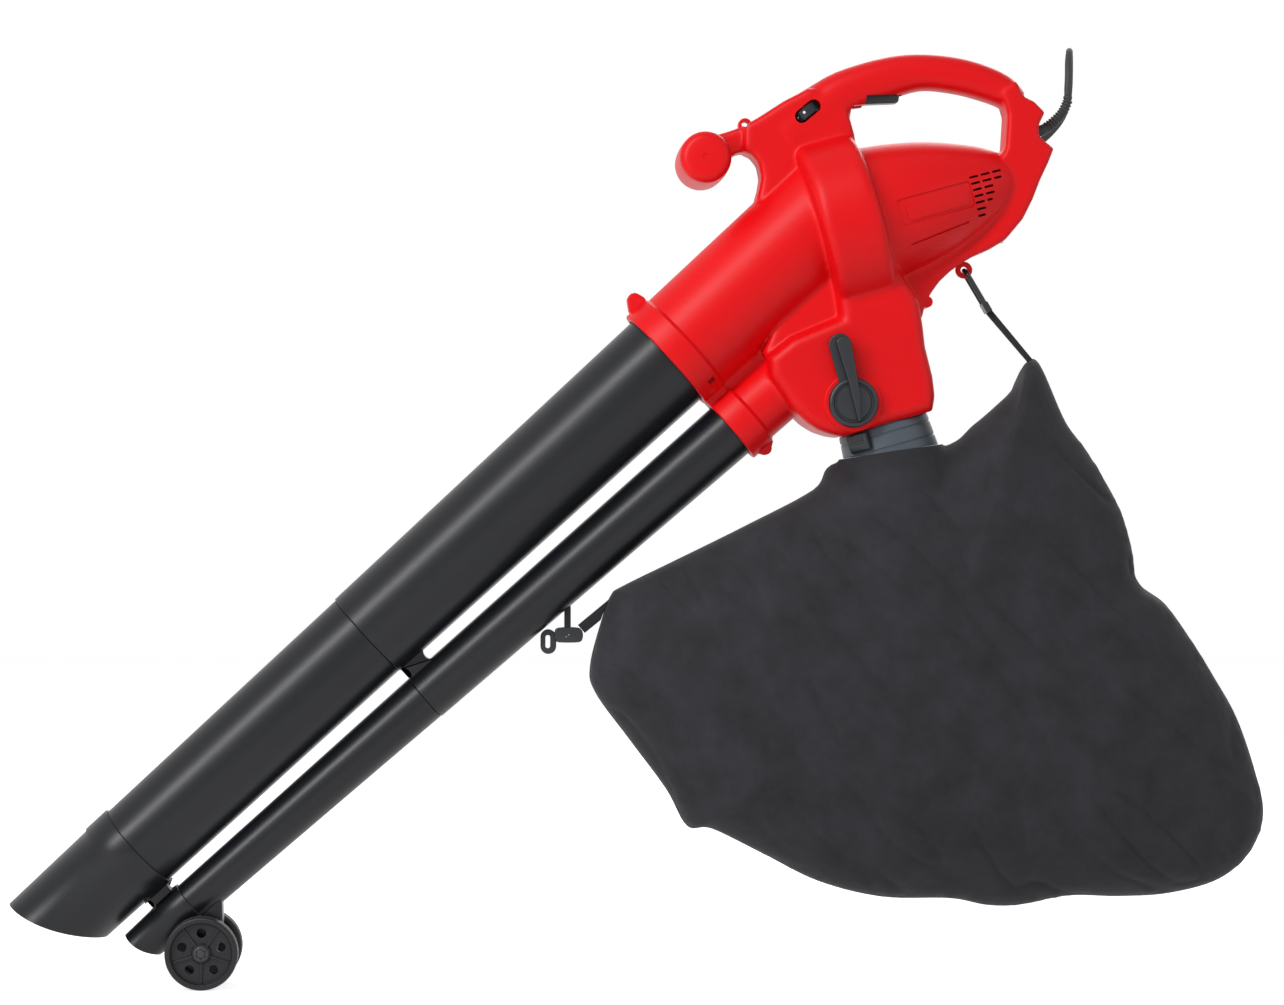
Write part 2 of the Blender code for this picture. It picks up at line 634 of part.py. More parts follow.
def wheels():
    inner = WHEEL_INSIDE
    w = WHEEL_WIDTH
    bore = AXLE_RADIUS + GAP
    rim = WHEEL_RADIUS - WHEEL_RIM
    hub_end = w - CLIP_THICKNESS - 2 * GAP
    profile = [
        (0.0, bore), (0.0, HUB_RADIUS), (7.0, HUB_RADIUS), (7.0, rim), (0.0, rim), (0.0, WHEEL_RADIUS - 1.6),
        (1.6, WHEEL_RADIUS), (w - 1.6, WHEEL_RADIUS), (w, WHEEL_RADIUS - 1.6), (w, rim), (w - 6.0, rim),
        (w - 6.0, HUB_RADIUS), (hub_end, HUB_RADIUS), (hub_end, bore),
    ]
    clip_start = w - CLIP_THICKNESS - GAP
    for side, name in ((-1.0, "left"), (1.0, "right")):
        place = across(WHEEL_CENTRE, side * inner) @ Matrix.Rotation(0.0 if side > 0 else math.pi, 4, "Z")
        wheel = turned(profile, place, 24)
        holes = []
        for k in range(WHEEL_HOLES):
            turn = place @ Matrix.Rotation(math.tau * k / WHEEL_HOLES, 4, "X")
            spot = turn @ Matrix.Translation((0.0, 0.0, WHEEL_HOLE_CIRCLE * MM))
            holes.append(rod(WHEEL_HOLE_RADIUS, 0.0, w, spot, 8))
        finished(cut(wheel, *holes), "wheel_" + name, "dark_plastic")
        clip = ring(bore, CLIP_RADIUS, clip_start, clip_start + CLIP_THICKNESS, place, 16)
        finished(clip, "axle_clip_" + name, "steel")
    half = inner + w
    finished(rod(AXLE_RADIUS, -half, half, across(WHEEL_CENTRE), 20), "wheel_axle", "steel")


# Fan and motor

def motor_cover_radius(x):
    """The motor cover's outer radius at a distance along the shaft."""
    points = MOTOR_COVER + [(MOTOR_COVER_END, 0.0)]
    for (x0, r0), (x1, r1) in zip(points, points[1:]):
        if x <= x1:
            return between((x - x0) / (x1 - x0), r0, r1)
    return 0.0


def impeller():
    outline = []
    for k in range(FAN_BLADES):
        turn = math.tau * k / FAN_BLADES
        half_tip = BLADE_THICKNESS / 2 / FAN_RADIUS
        half_root = BLADE_THICKNESS / 2 / FAN_HUB
        sweep = math.radians(-28.0)
        for radius, angle in (
            (FAN_HUB, turn - half_root), (FAN_RADIUS - BLADE_CURL, turn - half_tip * 1.4 + sweep * 0.45),
            (FAN_RADIUS, turn - half_tip + sweep), (FAN_RADIUS, turn + half_tip + sweep),
            (FAN_RADIUS - BLADE_CURL, turn + half_tip * 1.4 + sweep * 0.45), (FAN_HUB, turn + half_root),
        ):
            outline.append((radius * math.cos(angle), radius * math.sin(angle)))
    facing = FAN @ Matrix.Rotation(math.radians(-90.0), 4, "Z")      # Y runs forward along the shaft's X
    blades = plate(outline, FAN_FRONT, FAN_BACK - FAN_PLATE / 2, facing)
    back = rod(FAN_RADIUS, FAN_BACK - FAN_PLATE, FAN_BACK, FAN, 28)
    bore = rod(SHAFT_RADIUS + GAP, FAN_FRONT - 5.0, FAN_BACK + 5.0, FAN, 20)
    cut(join(blades, back), bore)
    finished(blades, "impeller", "fan_plastic")


def motor():
    bore = SHAFT_RADIUS + GAP
    finished(rod(SHAFT_RADIUS, SHAFT_FRONT, SHAFT_REAR, FAN, 20), "motor_shaft", "steel")
    nut_start = FAN_FRONT - GAP - NUT_LENGTH
    nut = rod(NUT_RADIUS, nut_start, FAN_FRONT - GAP, FAN, 6)
    finished(cut(nut, rod(bore, nut_start - 2.0, FAN_FRONT + 2.0, FAN, 20)), "impeller_nut", "steel")
    front = FAN_CASE_WIDTH / 2 - WALL + GAP
    finished(
        ring(bore, FRONT_BEARING_RADIUS, front, front + BEARING_WIDTH, FAN, 20), "front_bearing", "steel")
    rear = SHAFT_REAR - BEARING_WIDTH - 2.0
    finished(ring(bore, REAR_BEARING_RADIUS, rear, rear + BEARING_WIDTH, FAN, 20), "rear_bearing", "steel")
    end = STATOR_FRONT + STATOR_LENGTH
    finished(ring(STATOR_BORE, STATOR_RADIUS, STATOR_FRONT, end, FAN, 24), "stator", "steel")
    coils = (("field_coil_front", STATOR_FRONT - COIL_LENGTH - GAP), ("field_coil_rear", end + GAP))
    for name, start in coils:
        coil = ring(STATOR_BORE + 3.0, STATOR_RADIUS - 5.0, start, start + COIL_LENGTH, FAN, 20)
        finished(coil, name, "copper")
    core = STATOR_BORE - AIR_GAP
    winding = core - 4.0
    finished(
        turned([
            (STATOR_FRONT - COIL_LENGTH, bore), (STATOR_FRONT - COIL_LENGTH, winding),
            (STATOR_FRONT, winding), (STATOR_FRONT, core), (end, core), (end, winding),
            (end + COIL_LENGTH, winding - 2.0), (end + COIL_LENGTH, bore)], FAN, 20), "armature", "copper")
    brushes_start = end + COIL_LENGTH + 1.0
    finished(
        ring(bore, COMMUTATOR_RADIUS, brushes_start, brushes_start + COMMUTATOR_LENGTH, FAN, 20),
        "commutator", "copper")
    ring_start = brushes_start + 3.0
    ring_end = ring_start + BRUSH_RING
    seat = motor_cover_radius(ring_end) - WALL - GAP
    holder_bore = COMMUTATOR_RADIUS + 8.0
    finished(ring(holder_bore, seat, ring_start, ring_end, FAN, 24), "brush_ring", "dark_plastic")
    for side, name in ((1.0, "brush_upper"), (-1.0, "brush_lower")):
        z = sorted((side * (COMMUTATOR_RADIUS + GAP), side * (holder_bore - 0.9)))
        finished(box((ring_start, ring_end), (-3.0, 3.0), z, FAN), name, "carbon")


# Housing

def screw_places():
    """Name, frame's x and z, and the depth of the shell at each housing screw."""
    return [
        ("housing_screw_arm", (-184.0, -60.0), ARM_THICKNESS / 2),
        ("housing_screw_column", (-146.0, -70.0), COLUMN_THICKNESS / 2),
        ("housing_screw_post", (92.0, -30.0), BAND_THICKNESS / 2),
        ("housing_screw_tail", (100.0, -82.0), BAND_THICKNESS / 2),
        ("housing_screw_rear", (62.0, -148.0), BAND_THICKNESS / 2),
        ("housing_screw_outlet", (-4.0, -213.0), BAND_THICKNESS / 2),
    ]


def housing_outside():
    r = DUCT_RADIUS
    flange = r + FLANGE_STEP
    body = turned(
        [(-DUCT_LENGTH, 0.0), (-DUCT_LENGTH, r + 2.0), (-FLANGE_LENGTH - 2.0, r), (-FLANGE_LENGTH, flange),
         (-3.0, flange), (0.0, flange - 1.5), (0.0, 0.0)], SUCTION, 32)
    b = BLOWER_TOP + GAP + WALL
    socket = turned(
        [(-BLOWER_SOCKET_LENGTH, 0.0), (-BLOWER_SOCKET_LENGTH, b), (-FLANGE_LENGTH - 2.0, b),
         (-FLANGE_LENGTH, b + FLANGE_STEP), (-3.0, b + FLANGE_STEP), (0.0, b + FLANGE_STEP - 1.5),
         (0.0, 0.0)],
        BLOWER, 24)
    bridge = box((-FLANGE_LENGTH + 1.0, -0.7), (-17.0, 17.0), (r - 20.0, BLOWER_OFFSET - 5.0), SUCTION)
    top_lug = plate(
        [(-22.0, -flange + 6.0), (-25.0, -flange + 1.0), (-22.0, -68.0), (-9.0, -69.0), (-5.5, -62.0),
         (-4.0, -flange + 6.0)], -9.5, 9.5, SUCTION, rounding=2.0)
    low = BLOWER_OFFSET + b
    low_lug = plate(
        [(-4.0, low - 5.0), (-5.0, low + 4.0), (-9.0, low + 9.5), (-17.0, low + 9.5), (-23.0, low + 5.0),
         (-25.0, low - 5.0)], -9.0, 9.0, SUCTION, rounding=2.0)
    half = FAN_CASE_WIDTH / 2
    fan_case = turned(
        [(-half, 0.0), (-half, FAN_CASE_RADIUS - 9.0), (-half + 2.0, FAN_CASE_RADIUS - 4.0),
         (-half + 8.0, FAN_CASE_RADIUS), (half - 8.0, FAN_CASE_RADIUS), (half - 2.0, FAN_CASE_RADIUS - 4.0),
         (half, FAN_CASE_RADIUS - 9.0), (half, 0.0)], FAN, 32)
    motor_case = turned([(20.0, 0.0)] + MOTOR_COVER + [(MOTOR_COVER_END, 0.0)], FAN, 28)
    depth = BLOCK_THICKNESS / 2
    block = plate(BLOCK, -depth, depth, FAN, rounding=11.0, segments=3)
    handle = lofted(HANDLE)
    band = plate(REAR_BAND, -BAND_THICKNESS / 2, BAND_THICKNESS / 2, MIDDLE, rounding=4.5)
    column = plate(COLUMN, -COLUMN_THICKNESS / 2, COLUMN_THICKNESS / 2, MIDDLE, rounding=6.0)
    arm = plate(ARM, -ARM_THICKNESS / 2, ARM_THICKNESS / 2, MIDDLE, rounding=5.0)
    lever_boss = rod(LEVER_DISC + 4.0, -depth - 4.0, -depth + 12.0, across(LEVER_CENTRE), 32)
    eye = rod(EYE_RADIUS, -6.0, 6.0, across(EYE_CENTRE), 20)
    rear_eye = rod(EYE_RADIUS + 1.5, -2.5, 2.5, across(REAR_EYE), 20)
    return join(
        body, socket, bridge, top_lug, low_lug, fan_case, motor_case, block, handle, band, column, arm,
        lever_boss, eye, rear_eye)


def housing_hollow():
    stop = -SOCKET_DEPTH
    suction_socket = SUCTION_TOP + GAP + 0.3
    bore = SUCTION_TOP - TUBE_WALL
    body = turned(
        [(2.0, 0.0), (2.0, suction_socket), (stop, suction_socket), (stop, bore),
         (-DUCT_LENGTH + 8.0, bore + 3.0), (-DUCT_LENGTH + 8.0, 0.0)], SUCTION, 32)
    small_socket = BLOWER_TOP + GAP + 0.3
    small_bore = BLOWER_TOP - BLOWER_WALL
    socket = turned(
        [(2.0, 0.0), (2.0, small_socket), (stop, small_socket), (stop, small_bore),
         (-BLOWER_SOCKET_LENGTH + 14.0, small_bore), (-BLOWER_SOCKET_LENGTH + 14.0, 0.0)], BLOWER, 24)
    half = FAN_CASE_WIDTH / 2 - WALL
    fan_room = turned(
        [(-half, 0.0), (-half, FAN_CASE_RADIUS - 9.0), (-half + 6.0, FAN_CASE_RADIUS - WALL),
         (half - 6.0, FAN_CASE_RADIUS - WALL), (half, FAN_CASE_RADIUS - 9.0), (half, 0.0)], FAN, 32)
    nut_room = rod(NUT_RADIUS + 4.0, FAN_FRONT - NUT_LENGTH - 6.0, 0.0, FAN, 20)
    start = half + BULKHEAD
    inner = [(start, motor_cover_radius(start) - WALL)]
    inner += [(x, r - WALL) for x, r in MOTOR_COVER if x > start + 1.0]
    motor_room = turned([(start, 0.0)] + inner + [(MOTOR_COVER_END - WALL, 0.0)], FAN, 28)
    depth = BLOCK_THICKNESS / 2 - WALL
    outlet_room = plate(BLOCK_HOLLOW, -depth, depth, FAN, rounding=9.0, segments=2)
    neck = rod(NECK_BORE, NECK_END - 33.0, NECK_END + 3.0, OUTLET, 32)
    handle_room = lofted(HANDLE[:-1], inset=WALL)
    band_room = plate(inset(REAR_BAND, WALL), -BAND_THICKNESS / 2 + WALL, BAND_THICKNESS / 2 - WALL, MIDDLE)
    column_room = plate(
        inset(COLUMN[:8] + [(-90.0, -110.0), (-150.0, -110.0)] + COLUMN[12:], WALL),
        -COLUMN_THICKNESS / 2 + WALL, COLUMN_THICKNESS / 2 - WALL, MIDDLE)
    arm_room = plate(inset(ARM[2:-2], WALL), -ARM_THICKNESS / 2 + WALL, ARM_THICKNESS / 2 - WALL, MIDDLE)
    return join(
        body, socket, fan_room, nut_room, motor_room, outlet_room, neck, handle_room, band_room,
        column_room, arm_room)


def motor_seats():
    """Rings inside the housing that hold the bearings and the stator."""
    half = FAN_CASE_WIDTH / 2 - WALL
    bore = FRONT_BEARING_RADIUS + GAP
    seats = [ring(bore, FRONT_BEARING_RADIUS + 4.0, half + 1.0, half + BEARING_WIDTH + 2.0, FAN)]
    for start in (STATOR_FRONT + 4.0, STATOR_FRONT + STATOR_LENGTH - 8.0):
        reach = motor_cover_radius(start + 4.0) - 1.5
        seats.append(ring(STATOR_RADIUS + GAP, reach, start, start + 4.0, FAN, 24))
    rear = SHAFT_REAR - BEARING_WIDTH - 2.0
    reach = motor_cover_radius(rear + 6.0) - 1.5
    seats.append(ring(REAR_BEARING_RADIUS + GAP, reach, rear + 1.0, rear + 6.0, FAN))
    return seats


def housing_seats():
    """Ribs for the switch, the trigger's pin and the dial, and the bosses of the screws."""
    seats = []
    pivot_x, pivot_z = TRIGGER_PIVOT
    pin_x = (pivot_x - 4.0, pivot_x + 4.0)
    pin_z = (pivot_z - 3.5, pivot_z + 5.5)
    dial_y = (-COLUMN_THICKNESS / 2 + 1.0, DIAL_DEPTH + 5.0)
    for side in (-1.0, 1.0):
        span = sorted((side * (SWITCH_HALF + GAP), side * 18.5))
        seats.append(box((-52.0, -44.0), span, (-1.0, 7.0), MIDDLE))
        span = sorted((side * (PIN_HALF + GAP), side * 20.0))
        seats.append(box(pin_x, span, pin_z, MIDDLE))
        near, far = side * (BLOCK_THICKNESS / 2 - 1.0), side * FLAP_SEAT
        seats.append(rod(LEVER_SHAFT + 3.0, near, far, across(LEVER_CENTRE), 20))
        span = sorted((side * (DIAL_WIDTH / 2 + GAP), side * (DIAL_WIDTH / 2 + GAP + 2.5)))
        seats.append(box(span, dial_y, (-6.0, 6.0), dial_frame(0.0)))
    for name, place, depth in screw_places():
        seats.append(rod(BOSS_RADIUS, -depth + 1.5, depth - 1.5, across(place), 12))
    return seats


def housing_cuts():
    """Holes and slots that go through the shells."""
    depth = BLOCK_THICKNESS / 2
    cuts = [
        rod(EYE_HOLE, -25.0, 25.0, across(EYE_CENTRE), 24),
        rod(EYE_HOLE, -12.0, 12.0, across(REAR_EYE), 16),
        rod(LEVER_SHAFT + GAP, -depth - 9.0, depth - 1.0, across(LEVER_CENTRE), 16),
        plate([(-82.5, -44.0), (-26.5, -44.0), (-26.5, -4.0), (-82.5, -9.0)], -TRIGGER_THICKNESS / 2 - 0.7,
              TRIGGER_THICKNESS / 2 + 0.7, MIDDLE),
        plate(oval(28.0, 13.0), -40.0, DIAL_DEPTH, frame(DIAL_CENTRE, DIAL_LEAN)),
        rod(2.3, -9.5, 9.5, dial_frame(DIAL_DEPTH), 12),
        rod(BOOT_RADIUS + GAP, 96.0, 112.0, frame((0.0, BOOT_ROUTE[0][2])), 16),
        rod(FRONT_BEARING_RADIUS + GAP, 20.0, 40.0, FAN, 24),
    ]
    for name, place, half in screw_places():
        cuts.append(rod(SCREW_RADIUS + GAP, -half + 5.0, half + 3.0, across(place), 12))
        cuts.append(rod(SCREW_HEAD + GAP, half - 4.0, half + 3.0, across(place), 12))
    return cuts


def oval(length, width):
    half = (length - width) / 2
    return arc((half, 0.0), width / 2, -90.0, 90.0, 9) + arc((-half, 0.0), width / 2, 90.0, 270.0, 9)


def dial_frame(y):
    """X along the dial's axle, which lies square to the window's length."""
    return Matrix.Translation((0.0, y * MM, 0.0)) @ frame(DIAL_CENTRE, DIAL_LEAN + 90.0)


def housing():
    shell = cut(housing_outside(), housing_hollow())
    join(shell, *motor_seats())
    join(shell, *housing_seats())
    cut(shell, *housing_cuts())
    right = copied(shell)
    reach = (-BEYOND, BEYOND)
    cut(shell, box(reach, (-SPLIT_GAP / 2, BEYOND), reach, MIDDLE))
    cut(right, box(reach, (-BEYOND, SPLIT_GAP / 2), reach, MIDDLE))
    finished(shell, "housing_left", "red_shell")
    finished(right, "housing_right", "red_shell")
    for name, place, half in screw_places():
        head = half - 4.0 + GAP
        screw = turned(
            [(-half + 5.5, 0.0), (-half + 5.5, SCREW_RADIUS), (head, SCREW_RADIUS), (head, SCREW_HEAD),
             (head + 2.4, SCREW_HEAD), (head + 2.4, 0.0)], across(place), 12)
        finished(screw, name, "steel")


def front_grip():
    half = KNOB_LENGTH / 2
    profile = [
        (-half, 0.0), (-half, KNOB_RADIUS - 8.0), (-half + 3.0, KNOB_RADIUS - 3.0),
        (-half + 10.0, KNOB_RADIUS - 0.5), (0.0, KNOB_RADIUS), (half - 10.0, KNOB_RADIUS - 0.5),
        (half - 3.0, KNOB_RADIUS - 3.0), (half, KNOB_RADIUS - 8.0), (half, 0.0),
    ]
    body = turned(profile, across(KNOB_CENTRE), 28)
    cut(body, plate(inset(ARM, -GAP), -ARM_THICKNESS / 2 - GAP, ARM_THICKNESS / 2 + GAP, MIDDLE))
    finished(body, "front_grip", "red_shell")


# Controls

def mode_lever():
    face = -BLOCK_THICKNESS / 2 - 4.0 - GAP
    outer = face - 7.5
    body = turned(
        [(outer, 0.0), (outer, LEVER_DISC - 3.0), (outer + 2.0, LEVER_DISC - 0.8), (outer + 3.5, LEVER_DISC),
         (face, LEVER_DISC), (face, 0.0)], across(LEVER_CENTRE), 32)
    lean = frame(LEVER_CENTRE, 90.0 + LEVER_LEAN)
    arm_outline = [(-LEVER_DISC + 2.0, -3.0), (0.0, -7.5), (20.0, -7.8), (LEVER_LENGTH - 3.0, -9.8)]
    arm_outline += arc((LEVER_LENGTH, 0.0), 10.2, -70.0, 70.0, 7)
    arm_outline += [(LEVER_LENGTH - 3.0, 9.8), (20.0, 7.8), (0.0, 7.5), (-LEVER_DISC + 2.0, 3.0)]
    arm = plate(arm_outline, outer - 6.0, face - 0.5, lean, rounding=2.0)
    join(body, arm)
    cut(body, rod(LEVER_SHAFT + GAP, outer + 2.0, face + 5.0, across(LEVER_CENTRE), 16))
    finished(body, "mode_lever", "dark_plastic")
    shaft_start = outer + 2.0 + GAP
    shaft_end = BLOCK_THICKNESS / 2 - 1.0 - GAP
    finished(rod(LEVER_SHAFT, shaft_start, shaft_end, across(LEVER_CENTRE), 16), "mode_shaft", "steel")
    half = FLAP_SEAT - GAP
    hub = rod(LEVER_SHAFT + 3.0, -half, half, across(LEVER_CENTRE), 20)
    blade = box((4.0, FLAP_LENGTH), (-half, half), (-FLAP_THICKNESS / 2, FLAP_THICKNESS / 2), lean)
    join(hub, blade)
    cut(hub, rod(LEVER_SHAFT + GAP, -half - 3.0, half + 3.0, across(LEVER_CENTRE), 16))
    finished(hub, "mode_flap", "dark_plastic")


def trigger():
    half = TRIGGER_THICKNESS / 2
    outline = [
        (-79.5, -23.6), (-62.0, -24.6), (-45.0, -24.8), (-33.0, -24.6), (-29.4, -22.5), (-28.6, -14.0),
        (-31.0, -10.0), (-50.0, -8.0), (-72.0, -11.5), (-78.5, -16.0),
    ]
    body = plate(outline, -half, half, MIDDLE, rounding=1.2, segments=1)
    cut(body, rod(TRIGGER_PIN + GAP, -half - 2.0, half + 2.0, across(TRIGGER_PIVOT), 12))
    finished(pivoted(body, frame(TRIGGER_PIVOT)), "trigger", "dark_plastic")
    finished(rod(TRIGGER_PIN, -PIN_HALF, PIN_HALF, across(TRIGGER_PIVOT), 12), "trigger_pin", "steel")
    outline = [(-62.0, -3.0), (-26.0, 5.0), (-28.5, 16.0), (-64.5, 8.0)]
    finished(plate(outline, -SWITCH_HALF, SWITCH_HALF, MIDDLE), "power_switch", "dark_plastic")
    upright = frame((-40.0, 0.0), 90.0)
    finished(rod(2.6, -8.5, 0.9, upright, 12), "trigger_spring", "steel")


def speed_dial():
    half = DIAL_WIDTH / 2
    profile = [
        (-half - 2.2, 0.0), (-half - 2.2, 2.0), (-half, 2.0), (-half, DIAL_RADIUS - 1.0),
        (-half + 1.0, DIAL_RADIUS), (half - 1.0, DIAL_RADIUS), (half, DIAL_RADIUS - 1.0), (half, 2.0),
        (half + 2.2, 2.0), (half + 2.2, 0.0),
    ]
    finished(turned(profile, dial_frame(DIAL_DEPTH), 24), "speed_dial", "dark_plastic")


# Bag and straps

def collar_end(gap, far):
    """A wedge whose upper face lies along the collar's slanting end, lowered by the gap."""
    reach = 75.0
    slope = math.tan(math.radians(COLLAR_SLANT))
    end = NECK_END + COLLAR_DROP + gap
    outline = [(end - reach * slope, -reach), (end + reach * slope, reach), (far, reach), (far, -reach)]
    return plate(outline, -reach, reach, OUTLET)


def bag_collar():
    start = NECK_END - 19.5
    seat = NECK_END + GAP
    end = NECK_END + COLLAR_DROP + 10.0
    spigot = NECK_BORE - GAP
    body = turned(
        [(start, spigot), (seat, spigot), (seat, COLLAR_TOP), (seat + 3.0, COLLAR_TOP + 0.4),
         (end, COLLAR_END), (end, COLLAR_END - TUBE_WALL), (seat + 3.0, spigot - TUBE_WALL),
         (start, spigot - TUBE_WALL)], OUTLET, 32)
    cut(body, collar_end(0.0, end + 10.0))
    finished(body, "bag_collar", "collar_plastic")
    place = OUTLET @ Matrix.Rotation(math.radians(90.0 + LATCH_TURN), 4, "X")
    half = LATCH_WIDTH / 2
    low = NECK_END + COLLAR_DROP - 7.5
    high_inner = COLLAR_TOP + 0.4 + GAP
    low_inner = between((low - seat - 3.0) / (end - seat - 3.0), COLLAR_TOP + 0.4, COLLAR_END) + GAP
    outline = [(seat + 1.0, high_inner), (seat + 1.4, high_inner + 6.0), (seat + 9.0, high_inner + 7.2),
               (low - 3.0, low_inner + 5.0), (low, low_inner + 3.0), (low, low_inner)]
    latch = plate(outline, -half, half, place, rounding=0.8, segments=1)
    hinge = place @ Matrix.Translation((low * MM, 0.0, low_inner * MM))
    finished(pivoted(latch, hinge), "bag_latch", "dark_plastic")


def bag():
    bm = bmesh.new()
    middle = Vector((BAG_MIDDLE[0], 0.0, BAG_MIDDLE[1]))
    levels = [-72.0, -54.0, -36.0, -18.0, 0.0, 18.0, 36.0, 54.0, 72.0]
    loops = []
    for level in levels:
        turn = math.radians(level)
        share = math.cos(turn) ** 0.75
        y = BAG_HALF_DEPTH * math.sin(turn)
        loop = []
        for x, z in BAG:
            edge = Vector((x, 0.0, z))
            point = middle.lerp(edge, share)
            loop.append(bm.verts.new((point.x * MM, y * MM, point.z * MM)))
        loops.append(loop)
    count = len(BAG)
    for one, two in zip(loops, loops[1:]):
        for k in range(count):
            bm.faces.new((one[k], one[k - 1], two[k - 1], two[k]))
    bm.faces.new(loops[0])
    bm.faces.new(loops[-1])
    body = new_object("bag", bm, MIDDLE)
    start = NECK_END + 2.0
    mouth = turned(
        [(start, 0.0), (start, COLLAR_END + 1.5), (start + 24.0, COLLAR_END + 1.5),
         (start + 60.0, COLLAR_END + 10.0), (start + 145.0, 66.0), (start + 145.0, 0.0)], OUTLET, 32)
    room = rod(COLLAR_END + 6.0, NECK_END - 10.0, NECK_END + COLLAR_DROP + 20.0, OUTLET, 32)
    cut(room, collar_end(GAP, NECK_END + 80.0))
    cut(join(body, mouth), room)
    finished(body, "bag", "bag_fabric", 60.0)


def front_hook():
    """A clip on the tab's pin, with a ring to pull and the strap on its other side."""
    x, z = HOOK_PIN
    half = HOOK_WIDTH / 2
    outline = [(x - 12.0, z - 5.0), (x - 9.5, z - 6.0), (x + 11.0, z - 6.0), (x + 14.5, z - 3.5),
               (x + 14.5, z + 4.0), (x + 11.0, z + 8.0), (x - 9.0, z + 8.0), (x - 12.0, z + 6.0)]
    body = plate(outline, -half, half, MIDDLE)
    pull = plate(oval(23.5, 15.0), -2.5, 2.5, frame((x - 18.2, z - 5.4), 90.0), rounding=1.0, segments=1)
    join(body, pull)
    slot_half = HOOK_LUG_WIDTH / 2 + 2.7
    slot_side = HOOK_LUG_THICKNESS / 2 + GAP
    slot_low = z - HOOK_LUG_WIDTH / 2 - GAP
    slot = box((x - slot_half, x + slot_half), (-slot_side, slot_side), (slot_low, z + 20.0), MIDDLE)
    eye = plate(oval(12.5, 4.5), -9.0, 9.0, frame((x - 18.7, z - 5.4), 90.0))
    cut(body, slot, eye, rod(HOOK_PIN_RADIUS + GAP, -9.0, 9.0, across(HOOK_PIN), 12))
    finished(pivoted(body, frame(HOOK_PIN)), "front_hook", "dark_plastic")
    finished(rod(HOOK_PIN_RADIUS, -half, half, across(HOOK_PIN), 12), "front_hook_pin", "steel")


def rear_hook():
    """A long loop of round wire that runs through the eye under the housing's tail."""
    length, width = REAR_LINK_SIZE
    straight = (length - width) / 2
    outline = arc((straight, 0.0), width / 2, -90.0, 90.0, 9)
    outline += arc((-straight, 0.0), width / 2, 90.0, 270.0, 9)
    along = Vector((REAR_EYE[0] - REAR_LINK[0], 0.0, REAR_EYE[1] - REAR_LINK[1])).normalized()
    middle = Vector((REAR_LINK[0], 0.0, REAR_LINK[1]))
    points = [middle + along * u + Vector((0.0, v, 0.0)) for u, v in outline]
    link = tube(points, REAR_LINK_WIRE, "rear_hook", closed=True)
    finished(pivoted(link, frame(REAR_EYE)), "rear_hook", "dark_plastic")


def straps():
    half = STRAP_THICKNESS / 2
    front = [(-334.6, -519.6), (-305.5, -495.6), (-312.9, -514.8), (-328.0, -527.1)]
    rear = [(59.5, -218.0), (101.5, -268.3), (96.0, -270.0), (54.5, -222.0)]
    finished(pivoted(plate(front, -half, half, MIDDLE), frame(HOOK_PIN)), "front_strap", "webbing")
    finished(pivoted(plate(rear, -half, half, MIDDLE), frame(REAR_EYE)), "rear_strap", "webbing")


# Mains lead

def lead():
    boot = tube(BOOT_ROUTE, BOOT_RADIUS, "cord_boot")
    finished(boot, "cord_boot", "rubber")
    run = [CORD_ROUTE[0]] + smooth(CORD_ROUTE[1:-1], 9.0) + [CORD_ROUTE[-1]]
    cord = tube(run, CORD_RADIUS, "power_cord")
    finished(cord, "power_cord", "rubber")
    x, y, z = CORD_ROUTE[-1]
    start = Matrix.Translation((x * MM, y * MM, (z - GAP) * MM))
    down = start @ Matrix.Rotation(math.radians(90.0), 4, "Y")
    body = turned(
        [(0.0, 0.0), (0.0, 5.0), (10.0, 6.5), (14.0, 13.0), (20.0, PLUG_RADIUS), (36.0, PLUG_RADIUS),
         (36.0, 0.0)], down, 20)
    pins = []
    for side in (-1.0, 1.0):
        pins.append(rod(2.0, 33.0, 54.0, down @ Matrix.Translation((0.0, 0.0, side * 9.5 * MM)), 10))
    join(body, *pins)
    finished(body, "cord_plug", "rubber")


def build():
    clear_scene()
    twin_tube_upper()
    lower_tube("suction_tube_lower", SUCTION, SUCTION_MID - TUBE_WALL, suction_lower_radius, TUBE_WALL, 32)
    lower_tube("blower_tube_lower", BLOWER, BLOWER_MID - BLOWER_WALL, blower_lower_radius, BLOWER_WALL, 24)
    nozzle()
    wheels()
    impeller()
    motor()
    housing()
    front_grip()
    mode_lever()
    trigger()
    speed_dial()
    bag_collar()
    bag()
    front_hook()
    rear_hook()
    straps()
    lead()


build()
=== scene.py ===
import math

import bmesh
import bpy
from mathutils import Matrix, Vector, noise
from mathutils.kdtree import KDTree


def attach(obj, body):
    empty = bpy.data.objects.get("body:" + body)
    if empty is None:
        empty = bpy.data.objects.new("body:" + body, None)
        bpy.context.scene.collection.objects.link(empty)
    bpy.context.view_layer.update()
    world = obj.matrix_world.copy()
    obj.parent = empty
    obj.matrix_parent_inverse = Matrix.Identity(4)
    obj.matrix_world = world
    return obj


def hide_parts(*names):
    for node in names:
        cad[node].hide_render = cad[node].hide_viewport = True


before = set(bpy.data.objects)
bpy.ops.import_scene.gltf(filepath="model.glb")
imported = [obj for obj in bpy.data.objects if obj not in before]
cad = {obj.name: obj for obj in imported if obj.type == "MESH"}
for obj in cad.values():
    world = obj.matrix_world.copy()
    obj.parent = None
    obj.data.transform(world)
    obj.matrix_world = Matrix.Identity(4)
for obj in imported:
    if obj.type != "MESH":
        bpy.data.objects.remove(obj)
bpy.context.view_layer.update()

mm = 0.001
print("frame loaded:", len(cad), "nodes")


# Camera

